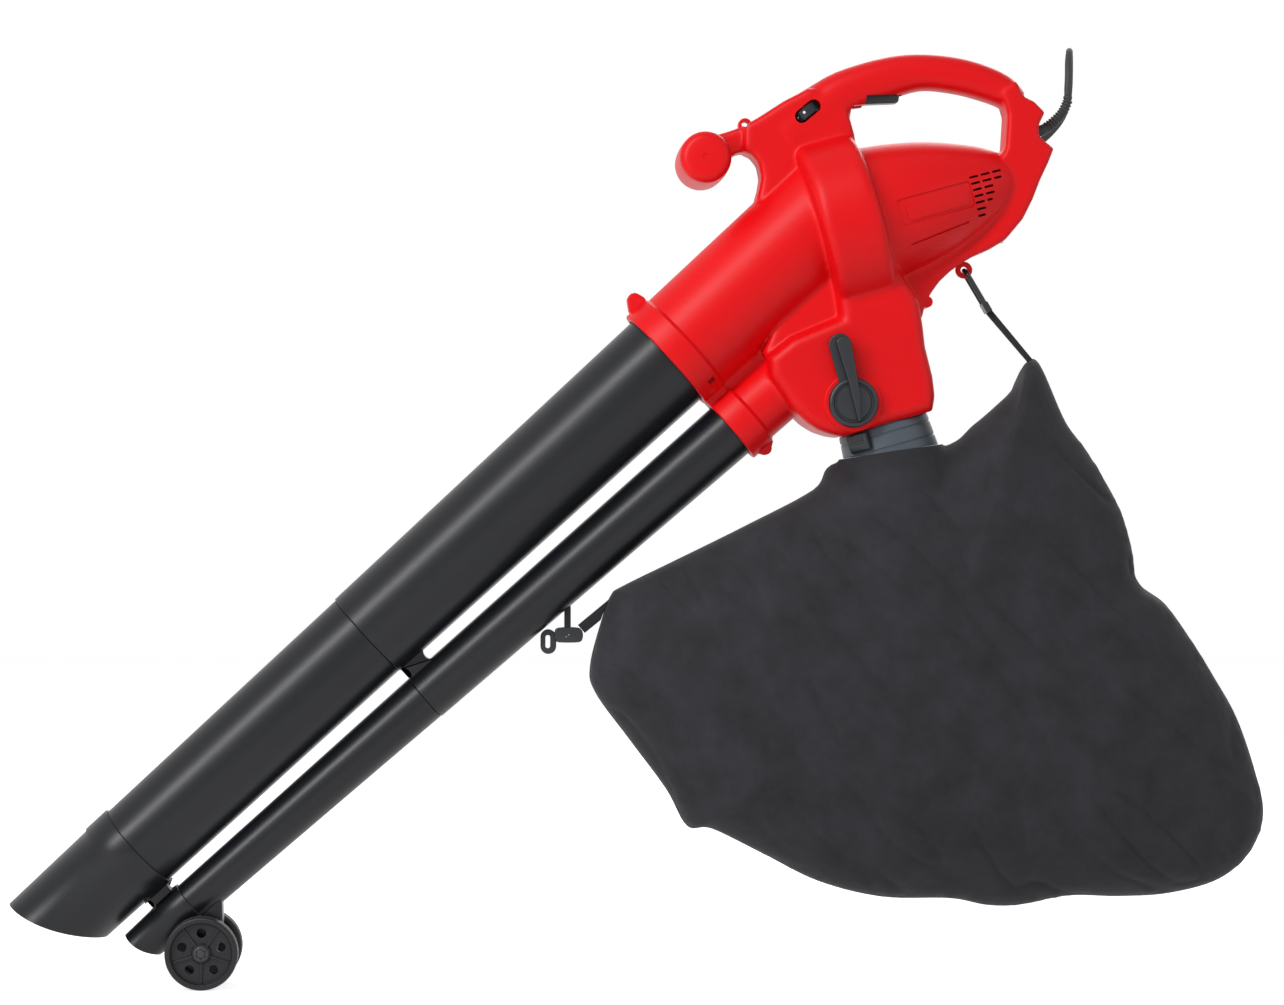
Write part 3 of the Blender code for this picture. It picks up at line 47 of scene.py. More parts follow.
photoView = {
    "width": 1284, "height": 1005,      # pixels
    "gripPixel": (930, 78),             # the frame's origin in the photograph
    "metresPerPixel": 0.00095,
    "distance": 3.2,                    # metres
    "azimuth": -3.0,                    # degrees round the tool, towards the nozzle
}


def buildCamera(view):
    scale = view["metresPerPixel"]
    target = Vector((
        (view["width"] / 2 - view["gripPixel"][0]) * scale, 0.0,
        (view["gripPixel"][1] - view["height"] / 2) * scale,
    ))
    turn = math.radians(view["azimuth"])
    back = Vector((math.sin(turn), -math.cos(turn), 0.0))
    bpy.ops.object.camera_add(location=target + back * view["distance"])
    camera = bpy.context.object
    camera.name = "photoCamera"
    camera.rotation_euler = (-back).to_track_quat("-Z", "Y").to_euler()
    camera.data.lens = camera.data.sensor_width * view["distance"] / (view["width"] * scale)
    camera.data.clip_start = 0.1
    camera.data.clip_end = 60.0
    bpy.context.scene.camera = camera
    return target


target = buildCamera(photoView)
print("camera placed")


# Places: every piece is built in the frame of its own axis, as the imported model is

layout = {
    "tubeMouth": (-250.8, -268.8), "tubeRise": 42.6,
    "blowerOffset": 89.7, "blowerToeIn": 1.45,
    "fanCentre": (-81.2, -139.2), "fanRise": 16.0, "outletShift": -16.5,
}


def frameAt(point, rise=0.0, y=0.0):
    place = Matrix.Translation((point[0] * mm, y * mm, point[1] * mm))
    return place @ Matrix.Rotation(-math.radians(rise), 4, "Y")


def acrossAt(point, y=0.0):
    return frameAt(point, 0.0, y) @ Matrix.Rotation(math.radians(90.0), 4, "Z")


def spokeOf(place, k, count):
    # the place turned round its own X to the spoke k of so many
    return place @ Matrix.Rotation(math.tau * k / count, 4, "X")


def onSide(side, near, far):
    # two distances from the middle plane in rising order, side being -1 or 1
    return sorted((side * near, side * far))


def mirrored(side):
    # a profile that is the same on both ends, from its far half
    return [(-along, radius) for along, radius in reversed(side)] + side


middle = frameAt((0.0, 0.0))
suctionAxis = frameAt(layout["tubeMouth"], 180.0 + layout["tubeRise"])
blowerAxis = suctionAxis @ frameAt((0.0, layout["blowerOffset"]), -layout["blowerToeIn"])
fanAxis = frameAt(layout["fanCentre"], layout["fanRise"])
outletAxis = fanAxis @ frameAt((layout["outletShift"], 0.0), -90.0)


# Modelling steps

def deselectAll():
    if bpy.context.object and bpy.context.object.mode != "OBJECT":
        bpy.ops.object.mode_set(mode="OBJECT")
    bpy.ops.object.select_all(action="DESELECT")


def pick(piece):
    deselectAll()
    piece.select_set(True)
    bpy.context.view_layer.objects.active = piece


def editAll(piece):
    pick(piece)
    bpy.ops.object.mode_set(mode="EDIT")
    bpy.ops.mesh.select_all(action="SELECT")


def closeEditing():
    bpy.ops.mesh.select_all(action="SELECT")
    bpy.ops.mesh.normals_make_consistent(inside=False)
    bpy.ops.object.mode_set(mode="OBJECT")


def closedLine(name, points, place, filled):
    # a ring of points, x y z in millimetres in the place's own axes
    deselectAll()
    fill = "NGON" if filled else "NOTHING"
    bpy.ops.mesh.primitive_circle_add(vertices=len(points), fill_type=fill)
    piece = bpy.context.object
    piece.name = name
    for vertex, point in zip(piece.data.vertices, points):
        vertex.co = place @ (Vector(point) * mm)
    return piece


def roundRims(piece, place, width, segments):
    # rounds the edges of a plate's two flat faces, width in millimetres
    inverse = place.inverted()
    editAll(piece)
    bpy.ops.mesh.select_mode(type="EDGE")
    bpy.ops.mesh.select_all(action="DESELECT")
    mesh = bmesh.from_edit_mesh(piece.data)
    for edge in mesh.edges:
        ends = [(inverse @ vertex.co).y for vertex in edge.verts]
        edge.select_set(abs(ends[0] - ends[1]) < 1e-6)
    bmesh.update_edit_mesh(piece.data)
    bpy.ops.mesh.bevel(offset=width * mm, segments=segments, affect="EDGES", clamp_overlap=True)
    bpy.ops.object.mode_set(mode="OBJECT")


def plateOf(name, outline, low, high, place, rounding=0.0, segments=4):
    # an outline in the place's X and Z, from low to high along Y
    piece = closedLine(name, [(x, low, z) for x, z in outline], place, True)
    across = place.to_3x3() @ Vector((0.0, (high - low) * mm, 0.0))
    editAll(piece)
    bpy.ops.mesh.extrude_region_move(TRANSFORM_OT_translate={"value": across})
    closeEditing()
    if rounding:
        roundRims(piece, place, rounding, segments)
    return piece


def spun(name, profile, place, steps=96):
    # points along X and out from it, turned round X. Ends on the axis close the shape
    piece = closedLine(name, [(along, 0.0, radius) for along, radius in profile], place, False)
    editAll(piece)
    axis = place.to_3x3() @ Vector((1.0, 0.0, 0.0))
    bpy.ops.mesh.spin(steps=steps, angle=math.tau, center=place.translation, axis=axis)
    bpy.ops.mesh.select_all(action="SELECT")
    bpy.ops.mesh.remove_doubles(threshold=1e-6)
    bpy.ops.mesh.delete_loose()
    closeEditing()
    return piece


def rodOf(name, radius, start, end, place, steps=48, rounding=0.0):
    profile = [(start, 0.0), (start, radius), (end, radius), (end, 0.0)]
    if rounding:
        profile = [(start, 0.0)] + arc((start + rounding, radius - rounding), rounding, 180.0, 90.0, 5)
        profile += arc((end - rounding, radius - rounding), rounding, 90.0, 0.0, 5) + [(end, 0.0)]
    return spun(name, profile, place, steps)


def ringOf(name, bore, radius, start, end, place, steps=64):
    return spun(name, [(start, bore), (start, radius), (end, radius), (end, bore)], place, steps)


def arc(centre, radius, start, end, count):
    angles = [math.radians(start + (end - start) * k / (count - 1)) for k in range(count)]
    return [(centre[0] + radius * math.cos(a), centre[1] + radius * math.sin(a)) for a in angles]


def oval(length, width, count=17):
    half, radius = (length - width) / 2, width / 2
    return arc((half, 0.0), radius, -90.0, 90.0, count) + arc((-half, 0.0), radius, 90.0, 270.0, count)


def curveThrough(a, b, c, d, t):
    second = (2 * a - 5 * b + 4 * c - d) * t ** 2
    return (2 * b + (c - a) * t + second + (3 * b - a - 3 * c + d) * t ** 3) / 2


def flowingLoop(points, each=6):
    # a smooth closed line through the points, with so many steps between each two
    ends = [Vector(point) for point in points]
    count = len(ends)
    line = []
    for k in range(count):
        near = [ends[(k + shift) % count] for shift in (-1, 0, 1, 2)]
        line += [tuple(curveThrough(*near, step / each)) for step in range(each)]
    return line


def evenLine(points, spacing):
    # points at an even spacing on a smooth line through the given ones
    ends = [Vector(point) for point in points]
    padded = [ends[0] * 2 - ends[1]] + ends + [ends[-1] * 2 - ends[-2]]
    dense = []
    for a, b, c, d in zip(padded, padded[1:], padded[2:], padded[3:]):
        dense += [curveThrough(a, b, c, d, step / 20) for step in range(20)]
    dense.append(ends[-1])
    runs = [0.0]
    for one, two in zip(dense, dense[1:]):
        runs.append(runs[-1] + (two - one).length)
    count = max(2, round(runs[-1] / spacing))
    even = []
    place = 0
    for k in range(count + 1):
        wanted = runs[-1] * k / count
        while place < len(dense) - 2 and runs[place + 1] < wanted:
            place += 1
        share = (wanted - runs[place]) / max(runs[place + 1] - runs[place], 1e-9)
        even.append(dense[place].lerp(dense[place + 1], min(share, 1.0)))
    return even


def skinOver(name, mesh, loops):
    # a piece with faces from each loop of points to the next, and over the first and the last
    for one, two in zip(loops, loops[1:]):
        for k in range(len(one)):
            mesh.faces.new((one[k], one[k - 1], two[k - 1], two[k]))
    mesh.faces.new(loops[0])
    mesh.faces.new(loops[-1])
    bmesh.ops.recalc_face_normals(mesh, faces=mesh.faces)
    data = bpy.data.meshes.new(name)
    mesh.to_mesh(data)
    mesh.free()
    piece = bpy.data.objects.new(name, data)
    bpy.context.scene.collection.objects.link(piece)
    return piece


def joined(name, pieces):
    deselectAll()
    for piece in pieces:
        piece.select_set(True)
    bpy.context.view_layer.objects.active = pieces[0]
    bpy.ops.object.join()
    pieces[0].name = name
    return pieces[0]


def applyModifier(piece, kind, **settings):
    pick(piece)
    modifier = piece.modifiers.new(kind.lower(), kind)
    for key, value in settings.items():
        setattr(modifier, key, value)
    bpy.ops.object.modifier_apply(modifier=modifier.name)
    return piece


def combined(piece, operation, others):
    # cuts the others from the piece, or joins them to it, all at once
    group = bpy.data.collections.new("others")
    for other in others:
        group.objects.link(other)
    applyModifier(
        piece, "BOOLEAN", operation=operation, solver="MANIFOLD", operand_type="COLLECTION",
        collection=group)
    for other in others:
        bpy.data.objects.remove(other, do_unlink=True)
    bpy.data.collections.remove(group)
    return piece


def remeshed(piece, voxel, smoothing):
    # one closed skin round overlapping shapes, with its corners softened
    applyModifier(piece, "REMESH", mode="VOXEL", voxel_size=voxel * mm, adaptivity=0.0)
    if smoothing:
        applyModifier(piece, "SMOOTH", factor=0.5, iterations=smoothing)
    return piece


def shadeByAngle(piece, degrees=35.0):
    pick(piece)
    bpy.ops.object.shade_smooth_by_angle(angle=math.radians(degrees))


# Surfaces: first the effects that several materials share

def feed(tree, node, inputs):
    # each input is a value, or a node and the output of it to link from
    for socket, value in inputs.items():
        if isinstance(value, tuple) and isinstance(value[0], bpy.types.Node):
            tree.links.new(value[0].outputs[value[1]], node.inputs[socket])
        else:
            node.inputs[socket].default_value = value


def addNode(tree, kind, inputs, **settings):
    made = tree.nodes.new("ShaderNode" + kind)
    for key, value in settings.items():
        setattr(made, key, value)
    feed(tree, made, inputs)
    return made


def addSocket(tree, label, direction):
    kind = {"Color": "Color", "Rotation": "Vector"}.get(label, "Float")
    return tree.interface.new_socket(label, in_out=direction, socket_type="NodeSocket" + kind)


def startGroup(name, inputs):
    tree = bpy.data.node_groups.new(name, "ShaderNodeTree")
    for label, value in inputs.items():
        addSocket(tree, label, "INPUT").default_value = value
    return tree, tree.nodes.new("NodeGroupInput"), (addNode(tree, "TexCoord", {}), "Object")


def endGroup(tree, outputs):
    for label in outputs:
        addSocket(tree, label, "OUTPUT")
    feed(tree, tree.nodes.new("NodeGroupOutput"), outputs)
    return tree


def buildMouldedGrain():
    # fine spark texture of moulded plastic, with slow changes of shine and tone
    tree, given, place = startGroup("mouldedGrain", {
        "Color": (0.5, 0.5, 0.5, 1.0), "Roughness": 0.4, "Grain Scale": 1400.0, "Shine Variation": 0.08,
        "Tone Variation": 0.06})
    grain = addNode(tree, "TexNoise", {"Vector": place, "Scale": (given, "Grain Scale"), "Detail": 2.0})
    slow = addNode(tree, "TexNoise", {"Vector": place, "Scale": 9.0, "Detail": 4.0})
    centred = addNode(tree, "Math", {0: (slow, "Fac"), 1: 0.5}, operation="SUBTRACT")
    shine = addNode(tree, "Math", {
        0: (centred, 0), 1: (given, "Shine Variation"), 2: (given, "Roughness")}, operation="MULTIPLY_ADD")
    tone = addNode(
        tree, "Math", {0: (centred, 0), 1: (given, "Tone Variation"), 2: 1.0}, operation="MULTIPLY_ADD")
    tinted = addNode(tree, "VectorMath", {0: (given, "Color"), "Scale": (tone, 0)}, operation="SCALE")
    return endGroup(tree, {"Color": (tinted, 0), "Roughness": (shine, 0), "Height": (grain, "Fac")})


def buildHandling():
    # light scuffs and a little garden dust: a mask for the places that are touched
    tree, given, place = startGroup("handlingMarks", {"Scale": 60.0, "Amount": 0.3})
    stretch = addNode(tree, "Mapping", {
        "Vector": place, "Scale": (1.0, 1.0, 6.0), "Rotation": (0.0, math.radians(38.0), 0.0)})
    streak = addNode(tree, "TexNoise", {
        "Vector": (stretch, "Vector"), "Scale": (given, "Scale"), "Detail": 6.0, "Roughness": 0.7})
    patches = addNode(tree, "TexNoise", {"Vector": place, "Scale": 7.0})
    sharpen = addNode(tree, "MapRange", {"Value": (streak, "Fac"), "From Min": 0.56, "From Max": 0.72})
    both = addNode(tree, "Math", {0: (sharpen, "Result"), 1: (patches, "Fac")}, operation="MULTIPLY")
    scaled = addNode(tree, "Math", {0: (both, 0), 1: (given, "Amount")}, operation="MULTIPLY")
    return endGroup(tree, {"Mask": (scaled, 0)})


def buildWeave():
    # plain weave of two crossing threads on the flat of the piece
    tree, given, place = startGroup("plainWeave", {
        "Color": (0.03, 0.03, 0.03, 1.0), "Thread Scale": 500.0, "Mottle": 0.4,
        "Rotation": (0.0, 0.0, 0.0)})
    turned = addNode(tree, "Mapping", {"Vector": place, "Rotation": (given, "Rotation")})
    warp, weft = [addNode(tree, "TexWave", {
        "Vector": (turned, "Vector"), "Scale": (given, "Thread Scale"), "Distortion": 0.6, "Detail": 1.0,
    }, wave_type="BANDS", bands_direction=direction) for direction in "XZ"]
    threads = addNode(tree, "Math", {0: (warp, "Fac"), 1: (weft, "Fac")}, operation="MAXIMUM")
    mottle = addNode(tree, "TexNoise", {"Vector": place, "Scale": 26.0, "Detail": 7.0, "Roughness": 0.62})
    centred = addNode(tree, "Math", {0: (mottle, "Fac"), 1: 0.5}, operation="SUBTRACT")
    tone = addNode(tree, "Math", {0: (centred, 0), 1: (given, "Mottle"), 2: 0.86}, operation="MULTIPLY_ADD")
    threadTone = addNode(tree, "Math", {0: (threads, 0), 1: 0.28, 2: (tone, 0)}, operation="MULTIPLY_ADD")
    tinted = addNode(tree, "VectorMath", {0: (given, "Color"), "Scale": (threadTone, 0)}, operation="SCALE")
    rough = addNode(tree, "MapRange", {"Value": (mottle, "Fac"), "To Min": 0.72, "To Max": 0.95})
    return endGroup(tree, {"Color": (tinted, 0), "Roughness": (rough, "Result"), "Height": (threads, 0)})


mouldedGrain = buildMouldedGrain()
handlingMarks = buildHandling()
plainWeave = buildWeave()


def newMaterial(name):
    material = bpy.data.materials.new(name)
    material.use_nodes = True
    return material, material.node_tree, material.node_tree.nodes["Principled BSDF"]


def mouldedPlastic(name, colour, roughness, worn, specular=0.5, grainScale=1500.0, grainDepth=0.12,
                   marks=0.18, markScale=55.0):
    # plastic with a moulded grain. Scuffs lighten it where hands and ground touch it
    material, tree, shader = newMaterial(name)
    grain = addNode(tree, "Group", node_tree=mouldedGrain, inputs={
        "Color": (*colour, 1.0), "Roughness": roughness, "Grain Scale": grainScale, "Shine Variation": 0.1,
        "Tone Variation": 0.1})
    scuffs = addNode(tree, "Group", {"Scale": markScale, "Amount": marks}, node_tree=handlingMarks)
    scuffed = addNode(tree, "Mix", data_type="RGBA", inputs={
        "Factor": (scuffs, "Mask"), "A": (grain, "Color"), "B": (*worn, 1.0)})
    rougher = addNode(tree, "Math", operation="MULTIPLY_ADD", use_clamp=True, inputs={
        0: (scuffs, "Mask"), 1: 0.35, 2: (grain, "Roughness")})
    bump = addNode(tree, "Bump", {
        "Strength": grainDepth, "Distance": 0.00025, "Height": (grain, "Height")})
    feed(tree, shader, {
        "Base Color": (scuffed, "Result"), "Roughness": (rougher, 0), "Normal": (bump, "Normal"),
        "Specular IOR Level": specular})
    return material


def wovenCloth(name, colour, threadScale, mottle, depth, sheen, turn):
    material, tree, shader = newMaterial(name)
    weave = addNode(tree, "Group", node_tree=plainWeave, inputs={
        "Color": (*colour, 1.0), "Thread Scale": threadScale, "Mottle": mottle,
        "Rotation": (0.0, math.radians(turn), 0.0)})
    bump = addNode(tree, "Bump", {"Strength": depth, "Distance": 0.0004, "Height": (weave, "Height")})
    feed(tree, shader, {
        "Base Color": (weave, "Color"), "Roughness": (weave, "Roughness"), "Normal": (bump, "Normal"),
        "Specular IOR Level": 0.25, "Sheen Weight": sheen, "Sheen Roughness": 0.5})
    return material


def drawnMetal(name, colour, roughness, metallic, stretch):
    # drawn or turned metal: fine lines along one axis and slow stains
    material, tree, shader = newMaterial(name)
    place = (addNode(tree, "TexCoord", {}), "Object")
    stretched = addNode(tree, "Mapping", {"Vector": place, "Scale": stretch})
    lines = addNode(tree, "TexNoise", {"Vector": (stretched, "Vector"), "Scale": 300.0, "Detail": 4.0})
    rough = addNode(tree, "MapRange", {
        "Value": (lines, "Fac"), "To Min": roughness - 0.1, "To Max": roughness + 0.12})
    tone = addNode(tree, "Mix", data_type="RGBA", inputs={
        "Factor": (lines, "Fac"), "A": (*colour, 1.0), "B": (*[part * 0.72 for part in colour], 1.0)})
    bump = addNode(tree, "Bump", {"Strength": 0.15, "Distance": 0.0001, "Height": (lines, "Fac")})
    feed(tree, shader, {
        "Base Color": (tone, "Result"), "Roughness": (rough, "Result"), "Normal": (bump, "Normal"),
        "Metallic": metallic})
    return material


plastics = {        # colour, roughness, colour of the scuffs
    "redShell": ((0.68, 0.0015, 0.0040), 0.43, (0.75, 0.03, 0.03)),
    "tubePlastic": ((0.005, 0.0055, 0.0078), 0.34, (0.04, 0.04, 0.045)),
    "controlPlastic": ((0.013, 0.015, 0.019), 0.34, (0.06, 0.06, 0.065)),
    "wheelPlastic": ((0.009, 0.009, 0.011), 0.42, (0.06, 0.055, 0.05)),
    "collarPlastic": ((0.055, 0.070, 0.088), 0.42, (0.12, 0.14, 0.16)),
    "rubberBlack": ((0.022, 0.022, 0.025), 0.62, (0.08, 0.08, 0.08)),
    "markWhite": ((0.80, 0.80, 0.78), 0.45, (0.5, 0.5, 0.48)),
    "fanPlastic": ((0.05, 0.05, 0.055), 0.5, (0.2, 0.2, 0.19)),
    "brushCarbon": ((0.02, 0.02, 0.02), 0.6, (0.06, 0.06, 0.06)),
}
plasticDetails = {
    "redShell": {"grainDepth": 0.05, "marks": 0.05, "specular": 0.22},
    "tubePlastic": {"grainDepth": 0.15, "marks": 0.12, "specular": 0.30},
    "controlPlastic": {"marks": 0.15, "specular": 0.4},
    "wheelPlastic": {"grainDepth": 0.2, "marks": 0.3, "specular": 0.3},
    "collarPlastic": {"marks": 0.12, "specular": 0.4},
    "rubberBlack": {"grainDepth": 0.35, "marks": 0.2},
    "markWhite": {"grainDepth": 0.1, "marks": 0.1},
    "fanPlastic": {"marks": 0.5, "markScale": 30.0},
    "brushCarbon": {"grainScale": 3000.0, "grainDepth": 0.4},
}
cloths = {          # colour, thread scale, mottle, depth, sheen, turn
    "bagCloth": ((0.020, 0.020, 0.024), 330.0, 2.2, 0.25, 0.06, 12.0),
    "webbing": ((0.016, 0.016, 0.018), 260.0, 0.3, 0.5, 0.2, -45.0),
}
metals = {          # colour, roughness, metallic, stretch
    "bareSteel": ((0.56, 0.57, 0.59), 0.32, 1.0, (1.0, 6.0, 1.0)),
    "darkSteel": ((0.045, 0.045, 0.048), 0.4, 0.6, (1.0, 6.0, 1.0)),
    "windings": ((0.72, 0.30, 0.13), 0.38, 1.0, (8.0, 1.0, 8.0)),
}
finishes = {name: mouldedPlastic(name, *look, **plasticDetails[name]) for name, look in plastics.items()}
finishes.update({name: wovenCloth(name, *look) for name, look in cloths.items()})
finishes.update({name: drawnMetal(name, *look) for name, look in metals.items()})
print("surfaces ready:", len(finishes))


def dressed(piece, finish, body, *replaced, angle=35.0):
    # gives a finished piece its surface, unless it has its own, and lets it ride in place of the CAD nodes
    if not piece.data.materials or not piece.data.materials[0]:
        piece.data.materials.clear()
        piece.data.materials.append(finishes[finish])
    if piece.type == "MESH":
        shadeByAngle(piece, angle)
    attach(piece, body)
    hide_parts(*replaced)
    return piece


def painted(piece, finish):
    # gives every face of a part its surface before it is joined to parts with other surfaces
    piece.data.materials.clear()
    piece.data.materials.append(finishes[finish])
    for face in piece.data.polygons:
        face.material_index = 0
    return piece


# Tubes: the suction tube is the wide one, the blower tube the slim one beside it

tubes = {
    "wall": 2.5, "slimWall": 2.0, "socket": 35.0, "midJoint": 384.0, "spigot": 30.0, "lowJoint": 676.0,
    "lowSocket": 25.0, "gap": 0.3, "rim": 0.9, "slimRim": 0.7, "webLength": 30.0, "webThickness": 18.0,
    "suction": {"top": 49.1, "mid": 45.9, "below": 44.6, "low": 43.0, "tip": 42.0},
    "blower": {"top": 28.0, "mid": 24.0, "below": 23.4, "low": 19.6, "tip": 17.2},
}
hookPin = (-344.4, -529.8)
pinBore = 1.8


def sizeAt(s, start, startSize, end, endSize):
    return startSize + (endSize - startSize) * (s - start) / (end - start)


def roundedTube(name, start, startRadius, end, endRadius, wall, rim, place, steps=96):
    # a plain tapered tube whose far rim is rounded off
    profile = [(start, startRadius - wall), (start, startRadius)]
    profile += arc((end - rim, endRadius - rim), rim, 90.0, 0.0, 5)
    profile += [(end, endRadius - wall + 0.4), (end - 0.4, endRadius - wall)]
    return spun(name, profile, place, steps)


def webBetweenTubes(name, start, wideRadius, slimRadius):
    # its two ends are hollowed, as where the slots between the tubes end
    half = tubes["webThickness"] / 2
    depth = layout["blowerOffset"] - (start + 15.0) * math.tan(math.radians(layout["blowerToeIn"]))
    low = wideRadius - 1.2
    high = depth - math.sqrt(slimRadius ** 2 - half ** 2) + 0.15
    centre = (low + high) / 2
    end = start + tubes["webLength"]
    outline = [(start, low)] + arc((start - 3.0, centre), 8.0, -60.0, 60.0, 9) + [(start, high)]
    outline += [(end, high)] + arc((end + 3.0, centre), 8.0, 120.0, 240.0, 9) + [(end, low)]
    return plateOf(name, outline, -half, half, suctionAxis, 1.2, 3)


def buildUpperTubes():
    wide, slim = tubes["suction"], tubes["blower"]
    top, end = -tubes["socket"] + tubes["gap"], tubes["midJoint"]
    wideTop = sizeAt(top, 0.0, wide["top"], end, wide["mid"])
    slimTop = sizeAt(top, 0.0, slim["top"], end, slim["mid"])
    parts = [
        roundedTube("wide", top, wideTop, end, wide["mid"], tubes["wall"], tubes["rim"], suctionAxis),
        roundedTube(
            "slim", top, slimTop, end, slim["mid"], tubes["slimWall"], tubes["slimRim"], blowerAxis, 80),
        webBetweenTubes("web", end - tubes["webLength"] - 1.5, wide["mid"], slim["mid"]),
    ]
    x, z = hookPin
    lug = arc(hookPin, 3.1, 180.0, 360.0, 17) + [(x + 3.1, z + 31.0), (x - 3.1, z + 25.3)]
    lug = plateOf("lug", lug, -2.2, 2.2, middle, 0.5, 2)
    combined(lug, "DIFFERENCE", [rodOf("hole", pinBore, -9.0, 9.0, acrossAt(hookPin), 24)])
    return joined("twinTubeUpper", parts + [lug])


def buildLowerTube(name, sizes, wall, place, steps):
    fit = sizes["mid"] - wall
    start = tubes["midJoint"] - tubes["spigot"]
    end = tubes["lowJoint"] + tubes["lowSocket"] - tubes["gap"]
    shoulder = tubes["midJoint"] + tubes["gap"]
    spigot = fit - tubes["gap"]
    rim = tubes["rim"]
    profile = [(start, spigot - wall), (start, spigot - 0.8), (start + 2.5, spigot), (shoulder, spigot)]
    profile += arc((shoulder + rim, sizes["below"] - rim), rim, 180.0, 90.0, 5)
    profile += [(tubes["lowJoint"], sizes["low"]), (end, sizes["low"]), (end, sizes["low"] - wall)]
    profile += [(shoulder + 8.0, sizes["below"] - wall), (shoulder, spigot - wall)]
    return spun(name, profile, place, steps)


dressed(buildUpperTubes(), "tubePlastic", "machine", "twin_tube_upper")
wideLower = buildLowerTube("suctionTubeLower", tubes["suction"], tubes["wall"], suctionAxis, 96)
dressed(wideLower, "tubePlastic", "machine", "suction_tube_lower")
slimLower = buildLowerTube("blowerTubeLower", tubes["blower"], tubes["slimWall"], blowerAxis, 80)
dressed(slimLower, "tubePlastic", "machine", "blower_tube_lower")
print("tubes built")


# Nozzle, with both mouths and the wheel bracket in one moulding

nozzleShape = {
    "suctionMouth": (125.0, 80.0, 6.0),     # long and short side from the nozzle's start, bow
    "blowerMouth": (67.0, 55.0, 3.5), "spare": 12.0,        # what the cut through a mouth takes off
    "wheelCentre": (-687.5, -824.6), "bracketThickness": 24.0, "hubHalf": 20.6, "hubRadius": 11.0,
    "axleRadius": 4.0,
}


def mouthWedge(name, longSide, shortSide, bow, radius, place):
    slope = (longSide - shortSide) / (2 * radius)
    halfWay = tubes["lowJoint"] + (longSide + shortSide) / 2
    edge = []
    for k in range(41):
        q = radius * (-2.0 + k / 10)
        edge.append((halfWay - slope * q + bow * max(1.0 - (q / radius) ** 2, -1.0), q))
    return plateOf(name, edge + [(1100.0, radius * 2.0), (1100.0, -radius * 2.0)], -90.0, 90.0, place)


def nozzleBore(name, socket, sizes, wall, end, place, steps):
    start = tubes["lowJoint"]
    step = start + tubes["lowSocket"]
    profile = [(start - 6.0, 0.0), (start - 6.0, socket), (step, socket), (step, sizes["low"] - wall)]
    return spun(name, profile + [(end + 2.0, sizes["tip"] - wall), (end + 2.0, 0.0)], place, steps)


def buildNozzle(shape):
    start = tubes["lowJoint"]
    step = start + tubes["lowSocket"]
    wide, slim = tubes["suction"], tubes["blower"]
    socket = wide["low"] + tubes["gap"]
    slimSocket = slim["low"] + tubes["gap"]
    longEnd = start + shape["suctionMouth"][0] + shape["spare"]
    slimEnd = start + shape["blowerMouth"][0] + shape["spare"]
    outer = [(start, 0.0)] + arc((start + 0.9, socket + 1.1), 0.9, 180.0, 90.0, 5)
    outer += [(step, socket + 2.0), (step + 2.5, wide["low"] + 0.6), (longEnd, wide["tip"]), (longEnd, 0.0)]
    body = spun("nozzle", outer, suctionAxis, 128)
    outer = [(start, 0.0)] + arc((start + 0.8, slimSocket + 1.0), 0.8, 180.0, 90.0, 5)
    outer += [(step, slimSocket + 1.8), (step + 3.0, slim["low"]), (slimEnd, slim["tip"]), (slimEnd, 0.0)]
    small = spun("small", outer, blowerAxis, 96)
    combined(body, "DIFFERENCE", [mouthWedge("wedge", *shape["suctionMouth"], wide["tip"], suctionAxis)])
    combined(small, "DIFFERENCE", [mouthWedge("wedge", *shape["blowerMouth"], slim["tip"], blowerAxis)])
    x, z = shape["wheelCentre"]
    bracket = [(x + 17.5, z + 54.0), (x + 18.5, z + 26.0)] + arc((x, z), 13.0, 0.0, -180.0, 25)
    bracket += [(x - 22.0, z + 30.0), (x - 12.0, z + 54.0)]
    half = shape["bracketThickness"] / 2
    bracket = plateOf("bracket", bracket, -half, half, middle, 2.5, 4)
    across = acrossAt((x, z))
    hub = rodOf("hub", shape["hubRadius"], -shape["hubHalf"], shape["hubHalf"], across, 48, 0.8)
    web = webBetweenTubes("web", start + 0.5, wide["low"] + 2.0, slim["low"] + 1.8)
    combined(body, "UNION", [small, web, bracket, hub])
    bore = nozzleBore("bore", socket, wide, tubes["wall"], longEnd, suctionAxis, 128)
    slimBore = nozzleBore("slimBore", slimSocket, slim, tubes["slimWall"], slimEnd, blowerAxis, 96)
    axleHole = rodOf("axleHole", shape["axleRadius"] + tubes["gap"], -30.0, 30.0, across, 48)
    combined(body, "DIFFERENCE", [bore, slimBore, axleHole])
    body.name = "nozzle"
    return body


nozzle = buildNozzle(nozzleShape)
dressed(nozzle, "tubePlastic", "machine", "nozzle")
print("nozzle built", len(nozzle.data.vertices))


# Wheels, on an axle held by two clips

wheelShape = {
    "radius": 34.2, "width": 17.0, "inside": 20.9, "bore": 4.3, "rim": 28.7, "hub": 9.0,
    "disc": (7.0, 11.0), "holes": 5, "holeRadius": 4.5, "holeCircle": 19.0,
    "grooves": (5.2, 8.5, 11.8), "clipTeeth": 6,
}


def wheelPlace(side, shape):
    # the axle's line where a wheel starts, with X pointing away from the middle
    turn = Matrix.Rotation(0.0 if side > 0 else math.pi, 4, "Z")
    return acrossAt(nozzleShape["wheelCentre"], side * shape["inside"]) @ turn


